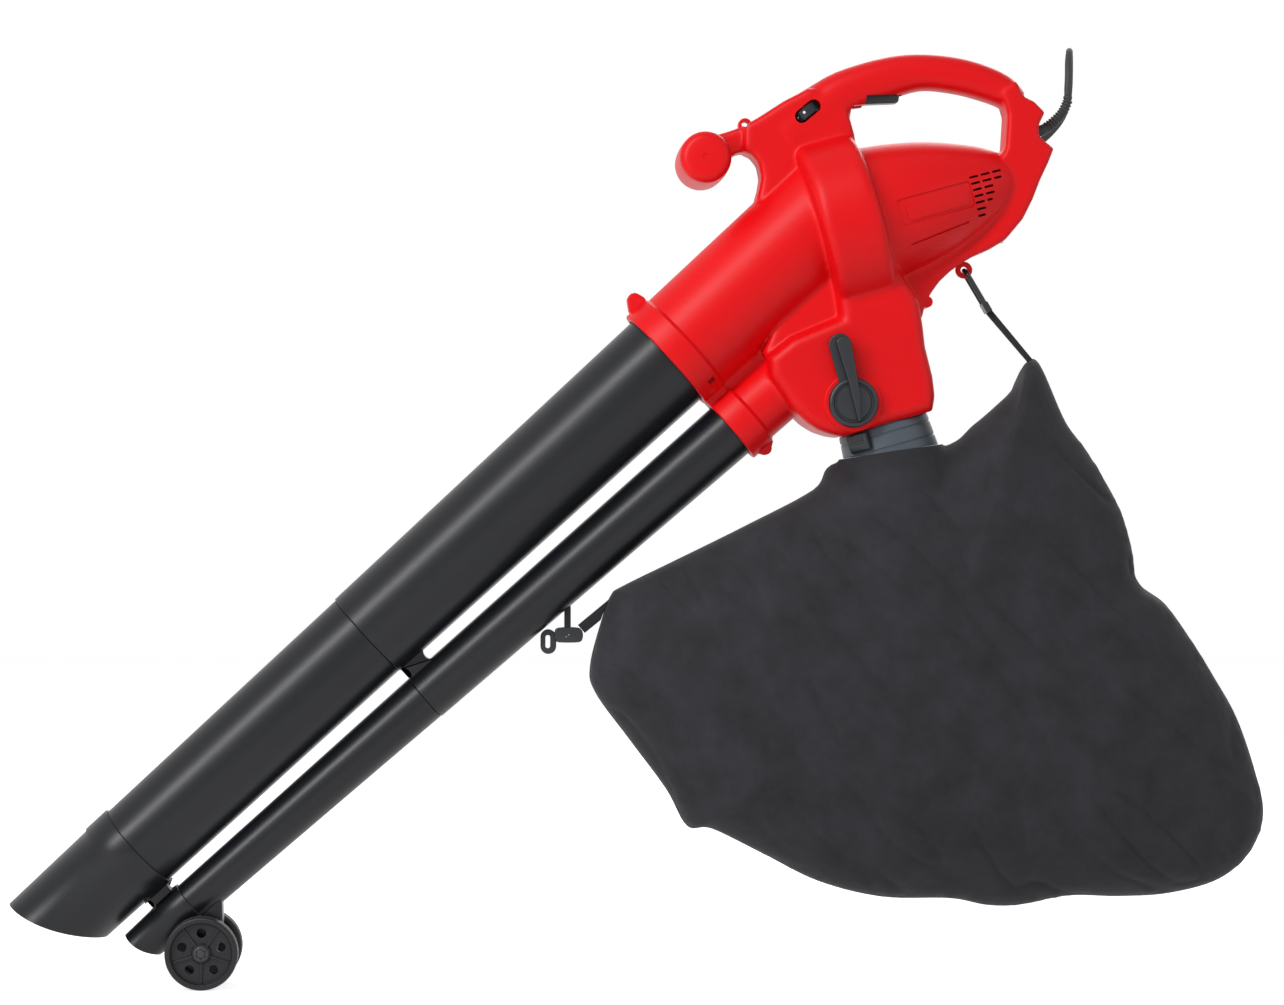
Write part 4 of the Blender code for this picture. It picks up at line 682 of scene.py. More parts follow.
def buildWheel(name, side, shape):
    low, high = shape["disc"]
    width, radius, rim, hub = shape["width"], shape["radius"], shape["rim"], shape["hub"]
    hubEnd = width - 2.1
    profile = [(0.0, shape["bore"]), (0.0, hub - 0.6), (0.6, hub), (low, hub + 0.6)]
    profile += [(low, rim - 1.2), (low - 1.2, rim), (0.5, rim + 0.3), (0.0, rim + 0.9)]
    profile += arc((2.4, radius - 2.4), 2.4, 180.0, 90.0, 7)
    for groove in shape["grooves"]:         # shallow, round the tread
        profile += [(groove - 0.7, radius), (groove - 0.35, radius - 0.6), (groove + 0.35, radius - 0.6),
                    (groove + 0.7, radius)]
    profile += arc((width - 2.4, radius - 2.4), 2.4, 90.0, 0.0, 7)
    profile += [(width, rim + 0.9), (width - 0.5, rim + 0.3), (high + 1.2, rim), (high, rim - 1.2)]
    profile += [(high, hub + 0.8), (high + 0.8, hub), (hubEnd - 0.8, hub), (hubEnd, hub - 0.8)]
    profile += [(hubEnd, shape["bore"])]
    place = wheelPlace(side, shape)
    wheel = spun(name, profile, place, 120)
    holes = []
    ribs = []
    for k in range(shape["holes"]):
        spot = spokeOf(place, k, shape["holes"]) @ Matrix.Translation((0.0, 0.0, shape["holeCircle"] * mm))
        holes.append(rodOf("hole", shape["holeRadius"], -1.0, width, spot, 32))
        # a low rib between each two holes, on the outer side of the disc
        between = spokeOf(place, k + 0.5, shape["holes"])
        rib = [(high - 0.6, hub - 1.0), (high + 2.6, hub - 1.0), (high + 1.5, rim + 0.4)]
        rib.append((high - 0.6, rim + 0.4))
        ribs.append(plateOf("rib", rib, -1.1, 1.1, between, 0.3, 2))
    combined(wheel, "DIFFERENCE", holes)
    return joined(name, [wheel] + ribs)


def buildAxle(shape):
    half = shape["inside"] + shape["width"]
    across = acrossAt(nozzleShape["wheelCentre"])
    return rodOf("wheelAxle", nozzleShape["axleRadius"], -half, half, across, 48, 1.0)


def buildClip(name, side, shape):
    # a push-on clip: a domed ring with spring teeth cut round its bore
    place = wheelPlace(side, shape)
    start = shape["width"] - 1.8
    profile = [(start, 4.2), (start, 6.6), (start + 0.4, 7.0), (start + 0.9, 6.9), (start + 1.5, 5.8),
               (start + 1.5, 4.2)]
    clip = spun(name, profile, place, 64)
    slot = [(start - 1.0, 3.6), (start + 3.0, 3.6), (start + 3.0, 5.6), (start - 1.0, 5.6)]
    teeth = shape["clipTeeth"]
    cuts = [plateOf("slot", slot, -0.35, 0.35, spokeOf(place, k, teeth)) for k in range(teeth)]
    return combined(clip, "DIFFERENCE", cuts)


for side, name, body in ((-1.0, "Left", "left_wheel"), (1.0, "Right", "right_wheel")):
    node = name.lower()
    wheel = buildWheel("wheel" + name, side, wheelShape)
    dressed(wheel, "wheelPlastic", body, "wheel_" + node)
    clip = buildClip("axleClip" + name, side, wheelShape)
    dressed(clip, "darkSteel", "machine", "axle_clip_" + node)
dressed(buildAxle(wheelShape), "darkSteel", "machine", "wheel_axle")
print("wheels built")


# Housing: soft main forms first, made into one skin, then the crisp edges and the cuts

motorCover = [      # along the fan's axis, radius
    (20.0, 68.0), (40.0, 66.0), (70.0, 61.5), (102.0, 53.5), (140.0, 39.0), (163.0, 25.0), (176.0, 11.0),
]
handleBar = [       # x, z, half height, half width, from the duct over the grip to the rear post
    (-137.8, -57.0, 29.3, 24.0), (-101.6, -29.0, 24.9, 24.0), (-77.9, -12.4, 21.7, 22.5),
    (-37.5, 1.4, 19.8, 21.0), (-6.6, 6.7, 17.3, 20.0), (28.5, 3.3, 17.1, 20.0), (55.6, -4.3, 16.4, 20.0),
    (72.5, -12.0, 15.0, 20.0), (84.0, -22.0, 12.0, 19.0),
]
rearBand = [        # from the rear post down to the outlet block
    (81.7, -1.9), (88.3, -17.1), (98.8, -21.8), (109.2, -32.3), (103.5, -43.7), (103.5, -55.1),
    (117.8, -66.5), (112.5, -80.0), (104.5, -97.0), (97.5, -115.0), (88.0, -134.0), (71.2, -153.9),
    (56.0, -163.0), (41.8, -169.1), (29.5, -176.0), (18.1, -184.3), (8.0, -194.0), (0.0, -205.2),
    (-5.5, -216.0), (-8.5, -228.9), (-30.0, -225.0), (-30.0, -185.0), (18.0, -135.0), (52.0, -100.0),
    (71.2, -66.5), (73.1, -34.2), (66.0, -12.0),
]
frontColumn = [     # between the duct and the grip, with the dial's window
    (-178.0, -46.0), (-166.2, -39.9), (-140.0, -23.0), (-115.9, -10.5), (-84.0, -18.0), (-78.0, -36.0),
    (-72.5, -55.0), (-70.0, -76.0), (-95.0, -144.4), (-133.0, -153.9), (-153.9, -130.2), (-166.2, -115.9),
    (-163.4, -106.4), (-161.5, -95.0), (-164.0, -82.6), (-170.5, -74.5), (-178.6, -71.2),
]
frontArm = [        # carries the front grip
    (-219.0, -85.0), (-219.0, -66.0), (-206.0, -55.5), (-192.0, -51.5), (-176.0, -45.5), (-160.0, -38.0),
    (-158.0, -80.0), (-170.5, -74.5), (-178.6, -71.2), (-186.0, -73.0), (-192.0, -78.5), (-204.0, -85.0),
]
outletBlock = [     # in the fan's frame, like its hollow and its core
    (-82.0, -90.0), (-32.0, -84.0), (-26.0, -40.0), (30.0, -40.0), (44.0, -90.0), (41.0, -115.0),
    (38.0, -132.0), (37.0, -162.0), (34.0, -180.0), (28.0, -193.0), (-60.5, -193.0), (-71.0, -188.0),
    (-81.0, -181.0), (-90.0, -171.0), (-98.0, -157.0), (-104.0, -140.0), (-111.0, -120.0), (-108.0, -101.0),
]
blockHollow = [
    (-20.0, -60.0), (20.0, -60.0), (25.0, -84.0), (37.0, -108.0), (34.0, -131.0), (33.0, -163.0),
    (30.0, -180.0), (24.0, -189.0), (-56.0, -189.0), (-68.0, -184.5), (-77.0, -177.5), (-86.0, -167.0),
    (-93.0, -154.0), (-98.5, -138.0), (-104.0, -118.0), (-101.0, -104.0), (-80.0, -96.0), (-30.0, -90.0),
]
blockCore = [
    (-60.0, -40.0), (30.0, -40.0), (30.0, -110.0), (-60.0, -130.0), (-106.0, -112.0), (-110.0, -95.0),
]
housingShape = {
    "ductRadius": 53.0, "ductLength": 212.0, "flangeLength": 24.0, "flangeStep": 3.5, "slimRadius": 31.3,
    "slimLength": 110.0, "fanRadius": 84.0, "fanHalf": 28.5, "blockHalf": 47.0, "bandHalf": 22.0,
    "columnHalf": 23.0, "armHalf": 16.0, "wall": 3.0, "leverCentre": (-77.9, -309.7), "leverDisc": 23.3,
    "eye": (-175.8, -44.6), "rearEye": (34.0, -181.5), "eyeBore": 3.3, "dialCentre": (-117.8, -33.2),
    "dialLean": 40.0, "dialDepth": -13.7, "halfSeam": 0.15, "voxel": 1.8, "smoothing": 9,
}
rooms = {           # radii and lengths of the space inside
    "socket": 49.7, "bore": 46.6, "socketDepth": 35.0, "slimSocket": 28.6, "slimBore": 26.0,
    "slimLength": 96.0, "neck": 40.3, "bearing": 13.3,
}
trigger = {"pivot": (-70.5, -17.5), "half": 7.5}
gapCorner = [       # the finger gap's front corner, with the cut above the trigger
    (-70.0, -58.0), (-75.4, -46.0), (-76.6, -37.0), (-76.0, -30.0), (-73.0, -26.8), (-63.0, -25.6),
    (-61.0, -16.6), (-33.0, -15.0), (-22.0, -19.0), (-24.0, -30.0), (-40.0, -58.0),
]
triggerShelf = [    # closes that cut inside the grip
    (-79.0, -28.5), (-76.0, -30.0), (-73.0, -26.8), (-63.0, -25.6), (-61.0, -16.6), (-33.0, -15.0),
    (-22.0, -14.0), (-22.0, -11.0), (-33.0, -12.0), (-63.5, -13.6), (-66.0, -22.6), (-79.0, -24.0),
]
screwPlaces = [     # name, x and z, depth of the shells there
    ("Arm", (-184.0, -60.0), 16.0), ("Column", (-146.0, -70.0), 23.0), ("Post", (92.0, -30.0), 22.0),
    ("Tail", (100.0, -82.0), 22.0), ("Rear", (62.0, -148.0), 22.0), ("Outlet", (-4.0, -213.0), 22.0),
]


screwShape = {"shank": 2.0, "head": 3.6, "hole": 2.3, "well": 3.9, "boss": 5.5, "slot": (-0.45, 0.45)}


def drawnIn(outline, distance):
    # the outline moved inwards, corner by corner
    points = [Vector(point) for point in outline]
    area = sum(a.x * b.y - b.x * a.y for a, b in zip(points, points[1:] + points[:1]))
    turn = 1.0 if area > 0.0 else -1.0
    drawn = []
    for before, here, after in zip(points[-1:] + points[:-1], points, points[1:] + points[:1]):
        first, second = (here - before).normalized(), (after - here).normalized()
        inward = Vector((-first.y - second.y, first.x + second.x)) * turn
        drawn.append(tuple(here + inward / (1.0 + first.dot(second)) * distance))
    return drawn


def loftedBar(name, stations, inset, sides=48, spacing=9.0):
    # rounded sections square to a line in the middle plane: x, z, half height, half width
    line = evenLine(stations, spacing)
    mesh = bmesh.new()
    loops = []
    for k, (x, z, halfHeight, halfWidth) in enumerate(line):
        before, after = line[max(k - 1, 0)], line[min(k + 1, len(line) - 1)]
        run = Vector((after[0] - before[0], 0.0, after[1] - before[1])).normalized()
        up = Vector((-run.z, 0.0, run.x))
        loop = []
        for step in range(sides):
            turn = math.tau * step / sides
            rise, side = math.cos(turn), math.sin(turn)
            rise = math.copysign(abs(rise) ** 0.8, rise) * (halfHeight - inset)
            side = math.copysign(abs(side) ** 0.8, side) * (halfWidth - inset)
            loop.append(mesh.verts.new((Vector((x, side, z)) + up * rise) * mm))
        loops.append(loop)
    return skinOver(name, mesh, loops)


def boxOf(name, x, y, z, place, rounding=0.0):
    outline = [(x[0], z[0]), (x[1], z[0]), (x[1], z[1]), (x[0], z[1])]
    return plateOf(name, outline, y[0], y[1], place, rounding)


def motorProfile(inset, start=20.0):
    # the motor cover's line as a smooth curve, drawn in by a wall
    line = evenLine([(x, r) for x, r in motorCover] + [(180.0, 0.0)], 4.0)
    side = [(max(x, start), max(r - inset, 0.0)) for x, r in line[:-1]]
    return [(start, 0.0)] + side + [(180.0 - inset, 0.0)]


def softForms(shape):
    wide, wideEnd = shape["ductRadius"], -shape["ductLength"]
    duct = [(wideEnd, 0.0), (wideEnd, wide + 2.0), (-1.2, wide), (-1.2, 0.0)]
    thin, thinEnd = shape["slimRadius"], -shape["slimLength"]
    slim = [(thinEnd, 0.0), (thinEnd, thin), (-1.2, thin), (-1.2, 0.0)]
    half, fan = shape["fanHalf"], shape["fanRadius"]
    fanCase = [(-half, 0.0), (-half, fan - 11.0)] + arc((-half + 9.0, fan - 9.0), 9.0, 170.0, 90.0, 9)
    fanCase += arc((half - 9.0, fan - 9.0), 9.0, 90.0, 10.0, 9) + [(half, fan - 11.0), (half, 0.0)]
    block, band, column, arm = shape["blockHalf"], shape["bandHalf"], shape["columnHalf"], shape["armHalf"]
    return [
        spun("duct", duct, suctionAxis, 128), spun("slim", slim, blowerAxis, 96),
        spun("fanCase", fanCase, fanAxis, 160), spun("motorCase", motorProfile(0.0), fanAxis, 144),
        plateOf("block", outletBlock, -block, block, fanAxis, 11.0, 6), loftedBar("handle", handleBar, 0.0),
        plateOf("band", rearBand, -band, band, middle, 4.5, 4),
        plateOf("column", frontColumn, -column, column, middle, 6.0, 5),
        plateOf("arm", frontArm, -arm, arm, middle, 5.0, 5),
        plateOf("core", blockCore, -30.0, 30.0, fanAxis, 6.0, 4),
        boxOf("ductWeb", (-108.0, -18.0), (-13.0, 13.0), (38.0, layout["blowerOffset"] - 12.0), suctionAxis),
    ]


def crispForms(shape):
    # rims, lugs and rings whose edges stay sharp in the moulding
    back, flange = -shape["flangeLength"], shape["ductRadius"] + shape["flangeStep"]
    parts = []
    for name, duct, place, steps in (
            ("flange", shape["ductRadius"], suctionAxis, 128),
            ("slimFlange", shape["slimRadius"], blowerAxis, 96)):
        radius, inner = duct + shape["flangeStep"], duct - 2.0
        profile = [(back - 2.5, inner), (back - 2.5, inner + 2.2), (back - 0.6, radius - 1.2)]
        profile += arc((back + 1.2, radius - 1.2), 1.2, 160.0, 90.0, 5)
        profile += arc((-1.5, radius - 1.5), 1.5, 90.0, 0.0, 6) + [(0.0, inner)]
        parts.append(spun(name, profile, place, steps))
    offset = layout["blowerOffset"]
    parts.append(boxOf("bridge", (back + 1.0, -0.7), (-17.0, 17.0), (33.0, offset - 5.0), suctionAxis, 1.0))
    # lugs with a round end, on the wide flange's top and under the slim one
    lug = [(-24.0, -flange + 6.0), (-25.0, -flange - 2.0)] + arc((-16.5, -62.5), 7.0, 190.0, 320.0, 12)
    lug += [(-5.5, -flange - 2.0), (-4.0, -flange + 6.0)]
    parts.append(plateOf("topLug", lug, -9.5, 9.5, suctionAxis, 1.6, 4))
    low = offset + shape["slimRadius"]
    lug = [(-4.0, low - 5.0), (-5.0, low + 3.0)] + arc((-13.0, low + 3.5), 6.5, 20.0, 150.0, 12)
    lug += [(-23.0, low + 4.0), (-25.0, low - 5.0)]
    parts.append(plateOf("lowLug", lug, -9.0, 9.0, suctionAxis, 1.6, 4))
    face = -shape["blockHalf"]
    boss, across = shape["leverDisc"] + 4.0, acrossAt(shape["leverCentre"])
    parts.append(rodOf("leverBoss", boss, face - 4.0, face + 12.0, across, 96, 1.2))
    parts.append(rodOf("eye", 6.5, -6.0, 6.0, acrossAt(shape["eye"]), 48, 1.0))
    parts.append(rodOf("rearEye", 8.0, -2.5, 2.5, acrossAt(shape["rearEye"]), 48, 0.8))
    return parts


def hollowForms(shape):
    # the space inside: sockets, fan room, motor room, outlet, and the hollow grip
    length, deep = shape["ductLength"] - 8.0, -rooms["socketDepth"]
    socket, bore = rooms["socket"], rooms["bore"]
    duct = [(2.0, 0.0), (2.0, socket), (deep, socket), (deep, bore), (-length, bore + 3.0), (-length, 0.0)]
    socket, bore, end = rooms["slimSocket"], rooms["slimBore"], -rooms["slimLength"]
    slim = [(2.0, 0.0), (2.0, socket), (deep, socket), (deep, bore), (end, bore), (end, 0.0)]
    half, fan, wall = shape["fanHalf"] - 3.0, shape["fanRadius"], shape["wall"]
    room = mirrored([(half - 6.0, fan - wall - 0.5), (half, fan - 12.0), (half, 0.0)])
    depth = shape["blockHalf"] - wall
    band, column, arm = shape["bandHalf"] - wall, shape["columnHalf"] - wall, shape["armHalf"] - wall
    # the column's room ends above the duct
    columnLine = frontColumn[:8] + [(-90.0, -110.0), (-150.0, -110.0)] + frontColumn[12:]
    return [
        spun("ductRoom", duct, suctionAxis, 96), spun("slimRoom", slim, blowerAxis, 80),
        spun("fanRoom", room, fanAxis, 96), spun("motorRoom", motorProfile(wall + 0.5, 31.0), fanAxis, 96),
        plateOf("outletRoom", blockHollow, -depth, depth, fanAxis, 9.0, 4),
        rodOf("neck", rooms["neck"], 160.0, 197.0, outletAxis, 96),
        loftedBar("handleRoom", handleBar[:-1], wall, 32),
        rodOf("bearingRoom", rooms["bearing"], 20.0, 40.0, fanAxis, 48),
        plateOf("bandRoom", drawnIn(rearBand, wall), -band, band, middle),
        plateOf("columnRoom", drawnIn(columnLine, wall), -column, column, middle),
        plateOf("armRoom", drawnIn(frontArm[2:-2], wall), -arm, arm, middle),
    ]


seatRings = [       # bore and radius, start and end along the fan's axis
    ("frontSeat", 13.3, 17.0, 26.5, 35.5), ("statorSeat", 42.3, 62.5, 56.0, 60.0),
    ("statorSeat", 42.3, 55.0, 90.0, 94.0), ("rearSeat", 11.3, 40.0, 130.0, 135.0),
]
seatBlocks = [      # X, distance from the middle plane, Z
    ("pinSeat", (-74.5, -66.5), (13.3, 19.5), (-21.0, -12.0)),
    ("switchSeat", (-52.0, -44.0), (8.3, 18.5), (-1.0, 7.0)),
]


def seatForms(shape):
    # rings and bosses inside that hold the bearings, the stator and the screws
    seats = [ringOf(name, *sizes, fanAxis) for name, *sizes in seatRings]
    for side in (-1.0, 1.0):
        for name, x, y, z in seatBlocks:
            seats.append(boxOf(name, x, onSide(side, *y), z, middle))
        seats.append(rodOf("shaftSeat", 7.0, side * 46.0, side * 41.0, acrossAt(shape["leverCentre"]), 32))
    for _, place, depth in screwPlaces:
        seats.append(rodOf("boss", screwShape["boss"], -depth + 1.8, depth - 1.8, acrossAt(place), 32))
    return seats


def coverGroove(name, outline, side, deep):
    # a groove of even depth in the motor cover, under an outline drawn along the shaft and across it
    cutter = plateOf(name, outline, *onSide(side, 18.0, 75.0), fanAxis)
    return combined(cutter, "DIFFERENCE", [spun("core", motorProfile(deep), fanAxis, 144)])


def slanted(centre, length, width, lean, rounding):
    # a rounded bar's outline, leaning by some degrees
    c, s = math.cos(math.radians(lean)), math.sin(math.radians(lean))
    box = ovalBox(length, width, rounding)
    return [(centre[0] + u * c - v * s, centre[1] + u * s + v * c) for u, v in box]


def ovalBox(length, width, rounding):
    a, b = length / 2 - rounding, width / 2 - rounding
    corners = []
    for centre, start in (((a, b), 0.0), ((-a, b), 90.0), ((-a, -b), 180.0), ((a, -b), 270.0)):
        corners += arc(centre, rounding, start, start + 90.0, 5)
    return corners


coverDetails = {
    "frame": ((82.5, -6.5), 74.0, 25.0, 0.0, 3.0), "panel": ((83.5, -8.5), 62.0, 13.5, 0.5, 2.0),
    "line": ((80.0, -34.0), 61.0, 1.8, 6.0, 0.8), "grooveDepth": 1.3,
    "louvreRows": 7, "louvreStart": 120.5, "louvreLength": 9.5, "louvrePitch": 12.2, "louvreHeight": 2.1,
    "shortest": 5.0, "rowPitch": 6.1, "topRow": 8.5, "rowEnd": 158.0, "rowEndStep": 4.9,
}


def coverCuts(details):
    # grooves round the side panel and the air slots behind it, on both sides
    cuts = []
    for side in (-1.0, 1.0):
        border = coverGroove("border", slanted(*details["frame"]), side, details["grooveDepth"])
        island = plateOf("island", slanted(*details["panel"]), -90.0, 90.0, fanAxis)
        cuts.append(combined(border, "DIFFERENCE", [island]))
        cuts.append(coverGroove("line", slanted(*details["line"]), side, details["grooveDepth"]))
        for row in range(details["louvreRows"]):
            z = details["topRow"] - row * details["rowPitch"]
            last = details["rowEnd"] - details["rowEndStep"] * row
            start = details["louvreStart"]
            while start + details["shortest"] < last:
                length = min(details["louvreLength"], last - start)
                outline = slanted((start + length / 2, z), length, details["louvreHeight"], 0.0, 1.0)
                cuts.append(plateOf("louvre", outline, *onSide(side, 16.0, 60.0), fanAxis))
                start += details["louvrePitch"]
    return cuts


def dialFrame(shape):
    # X along the dial's axle, square to the window's length
    aside = Matrix.Translation((0.0, shape["dialDepth"] * mm, 0.0))
    return aside @ frameAt(shape["dialCentre"], shape["dialLean"] + 90.0)


def openCuts(shape):
    # windows and holes through the shells
    face = shape["blockHalf"]
    half = trigger["half"] + 0.7
    window = [(-82.5, -44.0), (-26.5, -44.0), (-26.5, -4.0), (-82.5, -9.0)]
    dialPlace = frameAt(shape["dialCentre"], shape["dialLean"])
    cuts = [
        rodOf("eyeHole", shape["eyeBore"], -26.0, 26.0, acrossAt(shape["eye"]), 48),
        rodOf("rearEyeHole", shape["eyeBore"], -12.0, 12.0, acrossAt(shape["rearEye"]), 48),
        rodOf("leverHole", 4.3, -face - 9.0, -face + 8.0, acrossAt(shape["leverCentre"]), 32),
        plateOf("triggerWindow", window, -half, half, middle),
        plateOf("dialWindow", oval(28.0, 13.0), -40.0, shape["dialDepth"], dialPlace),
        rodOf("dialAxle", 2.3, -9.5, 9.5, dialFrame(shape), 24),
        rodOf("bootHole", 5.9, 96.0, 112.0, frameAt((0.0, -49.5)), 32),
    ]
    for x, z, inner in ((-11.5, 49.0, -24.5), (-16.5, 42.0, -30.0)):    # recesses of two catches
        cuts.append(boxOf("recess", (x - 3.5, x + 3.5), (-54.0, inner), (z - 2.0, z + 2.0), suctionAxis))
    for _, place, depth in screwPlaces:
        across = acrossAt(place)
        cuts.append(rodOf("screwHole", screwShape["hole"], -depth + 5.0, depth + 3.0, across, 32))
        cuts.append(rodOf("screwWell", screwShape["well"], depth - 4.0, depth + 3.0, across, 32))
    return cuts


def buildHousing(shape):
    shell = remeshed(joined("shell", softForms(shape)), shape["voxel"], shape["smoothing"])
    shelf = plateOf("shelf", triggerShelf, -24.0, 24.0, middle)
    skin = shell.copy()
    skin.data = shell.data.copy()
    bpy.context.collection.objects.link(skin)
    combined(shelf, "INTERSECT", [skin])
    combined(shell, "DIFFERENCE", [plateOf("gapCorner", gapCorner, -40.0, 40.0, middle, 1.0, 2)])
    print("  skin", len(shell.data.vertices))
    combined(shell, "UNION", crispForms(shape))
    combined(shell, "DIFFERENCE", hollowForms(shape))
    print("  hollowed", len(shell.data.vertices))
    combined(shell, "UNION", seatForms(shape) + [shelf])
    combined(shell, "DIFFERENCE", openCuts(shape) + coverCuts(coverDetails))
    print("  cut", len(shell.data.vertices))
    pick(shell)
    bpy.ops.object.duplicate()
    other = bpy.context.object
    reach, seam = (-700.0, 700.0), shape["halfSeam"]
    combined(shell, "DIFFERENCE", [boxOf("rightHalf", reach, (-seam, 300.0), reach, middle)])
    combined(other, "DIFFERENCE", [boxOf("leftHalf", reach, (-300.0, seam), reach, middle)])
    shell.name = "housingLeft"
    other.name = "housingRight"
    return shell, other


housingLeft, housingRight = buildHousing(housingShape)
dressed(housingLeft, "redShell", "machine", "housing_left", angle=32.0)
dressed(housingRight, "redShell", "machine", "housing_right", angle=32.0)
print("housing built", len(housingLeft.data.vertices), len(housingRight.data.vertices))


# Front grip: a barrel across the arm, for the second hand

frontGripShape = {"centre": (-215.6, -78.8), "half": 46.0, "radius": 25.0, "armGap": 0.3}


def buildFrontGrip(shape):
    half, radius, gap = shape["half"], shape["radius"], shape["armGap"]
    profile = [(-half, 0.0), (-half, 9.0), (-half + 0.4, 14.0)]
    profile += arc((-half + 9.4, radius - 9.6), 9.0, 168.0, 90.0, 9)
    profile += [(-20.0, radius - 0.2), (0.0, radius), (20.0, radius - 0.2)]
    profile += arc((half - 9.4, radius - 9.6), 9.0, 90.0, 12.0, 9)
    profile += [(half - 0.4, 14.0), (half, 9.0), (half, 0.0)]
    place = acrossAt(shape["centre"])
    grip = spun("frontGrip", profile, place, 128)
    armHalf = housingShape["armHalf"] + gap
    cuts = [plateOf("armRoom", drawnIn(frontArm, -gap), -armHalf, armHalf, middle)]
    for side in (-1.0, 1.0):        # a shallow moulding mark in the middle of each end
        cuts.append(rodOf("dimple", 3.2, *onSide(side, half - 0.7, half + 2.0), place, 32))
    return combined(grip, "DIFFERENCE", cuts)


dressed(buildFrontGrip(frontGripShape), "redShell", "machine", "front_grip")


# Housing screws, sunk in their wells on the right side

def buildScrew(name, place, depth, shape):
    start, head = -depth + 5.5, depth - 3.7
    shank, wide = shape["shank"], shape["head"]
    profile = [(start, 0.0), (start + 1.0, 1.2), (start + 3.0, shank), (head, shank), (head, 3.4)]
    profile += [(head + 0.3, wide), (head + 1.4, wide), (head + 2.0, 3.0), (head + 2.4, 1.6)]
    profile += [(head + 2.4, 0.0)]
    screw = spun(name, profile, place, 48)
    for turn in (0.0, 90.0):        # a cross recess
        turned = place @ Matrix.Rotation(math.radians(turn), 4, "X")
        slot = boxOf("recess", (head + 0.6, head + 4.0), (-2.1, 2.1), shape["slot"], turned)
        combined(screw, "DIFFERENCE", [slot])
    return screw


for name, place, depth in screwPlaces:
    screw = buildScrew("housingScrew" + name, acrossAt(place), depth, screwShape)
    dressed(screw, "darkSteel", "machine", "housing_screw_" + name.lower())
print("grip and screws built")


# Mode lever: a disc with a raised bar, and an arm that stands proud of the housing

leverShape = {"face": -51.3, "lean": 13.3, "length": 56.0}


def buildModeLever(shape):
    face = shape["face"]
    outer = face - 7.5
    across = acrossAt(housingShape["leverCentre"])
    disc, length = housingShape["leverDisc"], shape["length"]
    profile = [(face, 0.0), (face, disc - 0.3), (face - 0.3, disc)]
    profile += arc((outer + 3.4, disc - 3.0), 3.0, 90.0, 180.0, 9)
    profile += [(outer + 0.4, disc - 4.2), (outer + 1.4, disc - 5.2), (outer + 1.4, disc - 6.4),
                (outer + 0.3, disc - 7.4), (outer, disc - 9.0), (outer, 0.0)]
    body = spun("disc", profile, across, 128)
    lean = frameAt(housingShape["leverCentre"], 90.0 + shape["lean"])
    base = [(-disc + 2.5, -3.5), (0.0, -8.6), (20.0, -9.0), (length - 4.0, -10.6)]
    base += arc((length - 1.0, 0.0), 11.2, -70.0, 70.0, 13)
    base += [(length - 4.0, 10.6), (20.0, 9.0), (0.0, 8.6), (-disc + 2.5, 3.5)]
    arm = plateOf("arm", base, outer + 2.5, face - 0.5, lean, 1.2, 4)
    # the finger bar on it is narrower and lies towards the rear edge
    bar = [(-disc + 5.0, -1.6), (2.0, -5.8), (20.0, -7.6), (length - 5.0, -9.4)]
    bar += arc((length - 1.0, -2.6), 7.4, -60.0, 60.0, 11)
    bar += [(length - 5.0, 3.4), (20.0, 1.2), (2.0, 1.0), (-disc + 5.0, 0.8)]
    bar = plateOf("bar", bar, outer - 6.0, outer + 5.0, lean, 2.2, 5)
    combined(body, "UNION", [arm, bar])
    combined(body, "DIFFERENCE", [rodOf("shaftHole", 4.3, outer + 2.0, face + 5.0, across, 48)])
    body.name = "modeLever"
    return body


dressed(buildModeLever(leverShape), "controlPlastic", "mode_control", "mode_lever")


# Trigger and dial

fingerFace = [      # the trigger's smooth underside, from the front to the rear
    (-79.5, -16.5), (-79.3, -21.5), (-77.0, -24.4), (-71.0, -25.0), (-58.0, -24.2), (-46.0, -23.6),
    (-36.0, -23.2), (-30.6, -22.4), (-29.2, -19.5), (-28.6, -13.0),
]
triggerBack = [(-31.0, -10.0), (-50.0, -8.0), (-72.0, -11.5), (-78.5, -16.0)]


def buildTrigger():
    half = trigger["half"]
    outline = [*evenLine(fingerFace, 1.2), *triggerBack]
    body = plateOf("trigger", outline, -half, half, middle, 1.3, 4)
    pinHole = rodOf("pinHole", pinBore, -10.0, 10.0, acrossAt(trigger["pivot"]), 24)
    return combined(body, "DIFFERENCE", [pinHole])


dialShape = {
    "half": 5.0, "radius": 12.0, "teeth": 40,
    "marks": [(-1.5, 1.1), (1.5, 1.5), (5.5, 1.1), (9.5, 1.2), (13.5, 1.3)],    # step of 12 degrees, radius
}


def buildDial(shape):
    half, radius = shape["half"], shape["radius"]
    place = dialFrame(housingShape)
    side = [(half - 1.0, radius - 0.5), (half, radius - 1.6), (half, 2.0), (half + 2.2, 2.0)]
    dial = spun("speedDial", mirrored(side + [(half + 2.2, 0.0)]), place, 80)
    tooth = [(-half + 0.6, radius - 1.4), (half - 0.6, radius - 1.4), (half - 0.9, radius)]
    tooth.append((-half + 0.9, radius))
    parts = [dial]
    for k in range(shape["teeth"]):
        parts.append(plateOf("tooth", tooth, -0.45, 0.45, spokeOf(place, k, shape["teeth"])))
    for part in parts:
        painted(part, "controlPlastic")
    for k, size in shape["marks"]:
        turned = place @ Matrix.Rotation(math.radians(k * 12.0 - 90.0), 4, "X")
        spot = turned @ Matrix.Translation((1.2 * mm, 0.0, 0.0))
        spot = spot @ Matrix.Rotation(math.radians(-90.0), 4, "Y")
        parts.append(painted(rodOf("mark", size, radius - 1.0, radius + 0.1, spot, 24), "markWhite"))
    return joined("speedDial", parts)


dressed(buildTrigger(), "controlPlastic", "trigger_body", "trigger")
dressed(buildDial(dialShape), "controlPlastic", "dial_body", "speed_dial")
print("controls built")


# Bag collar and its latch

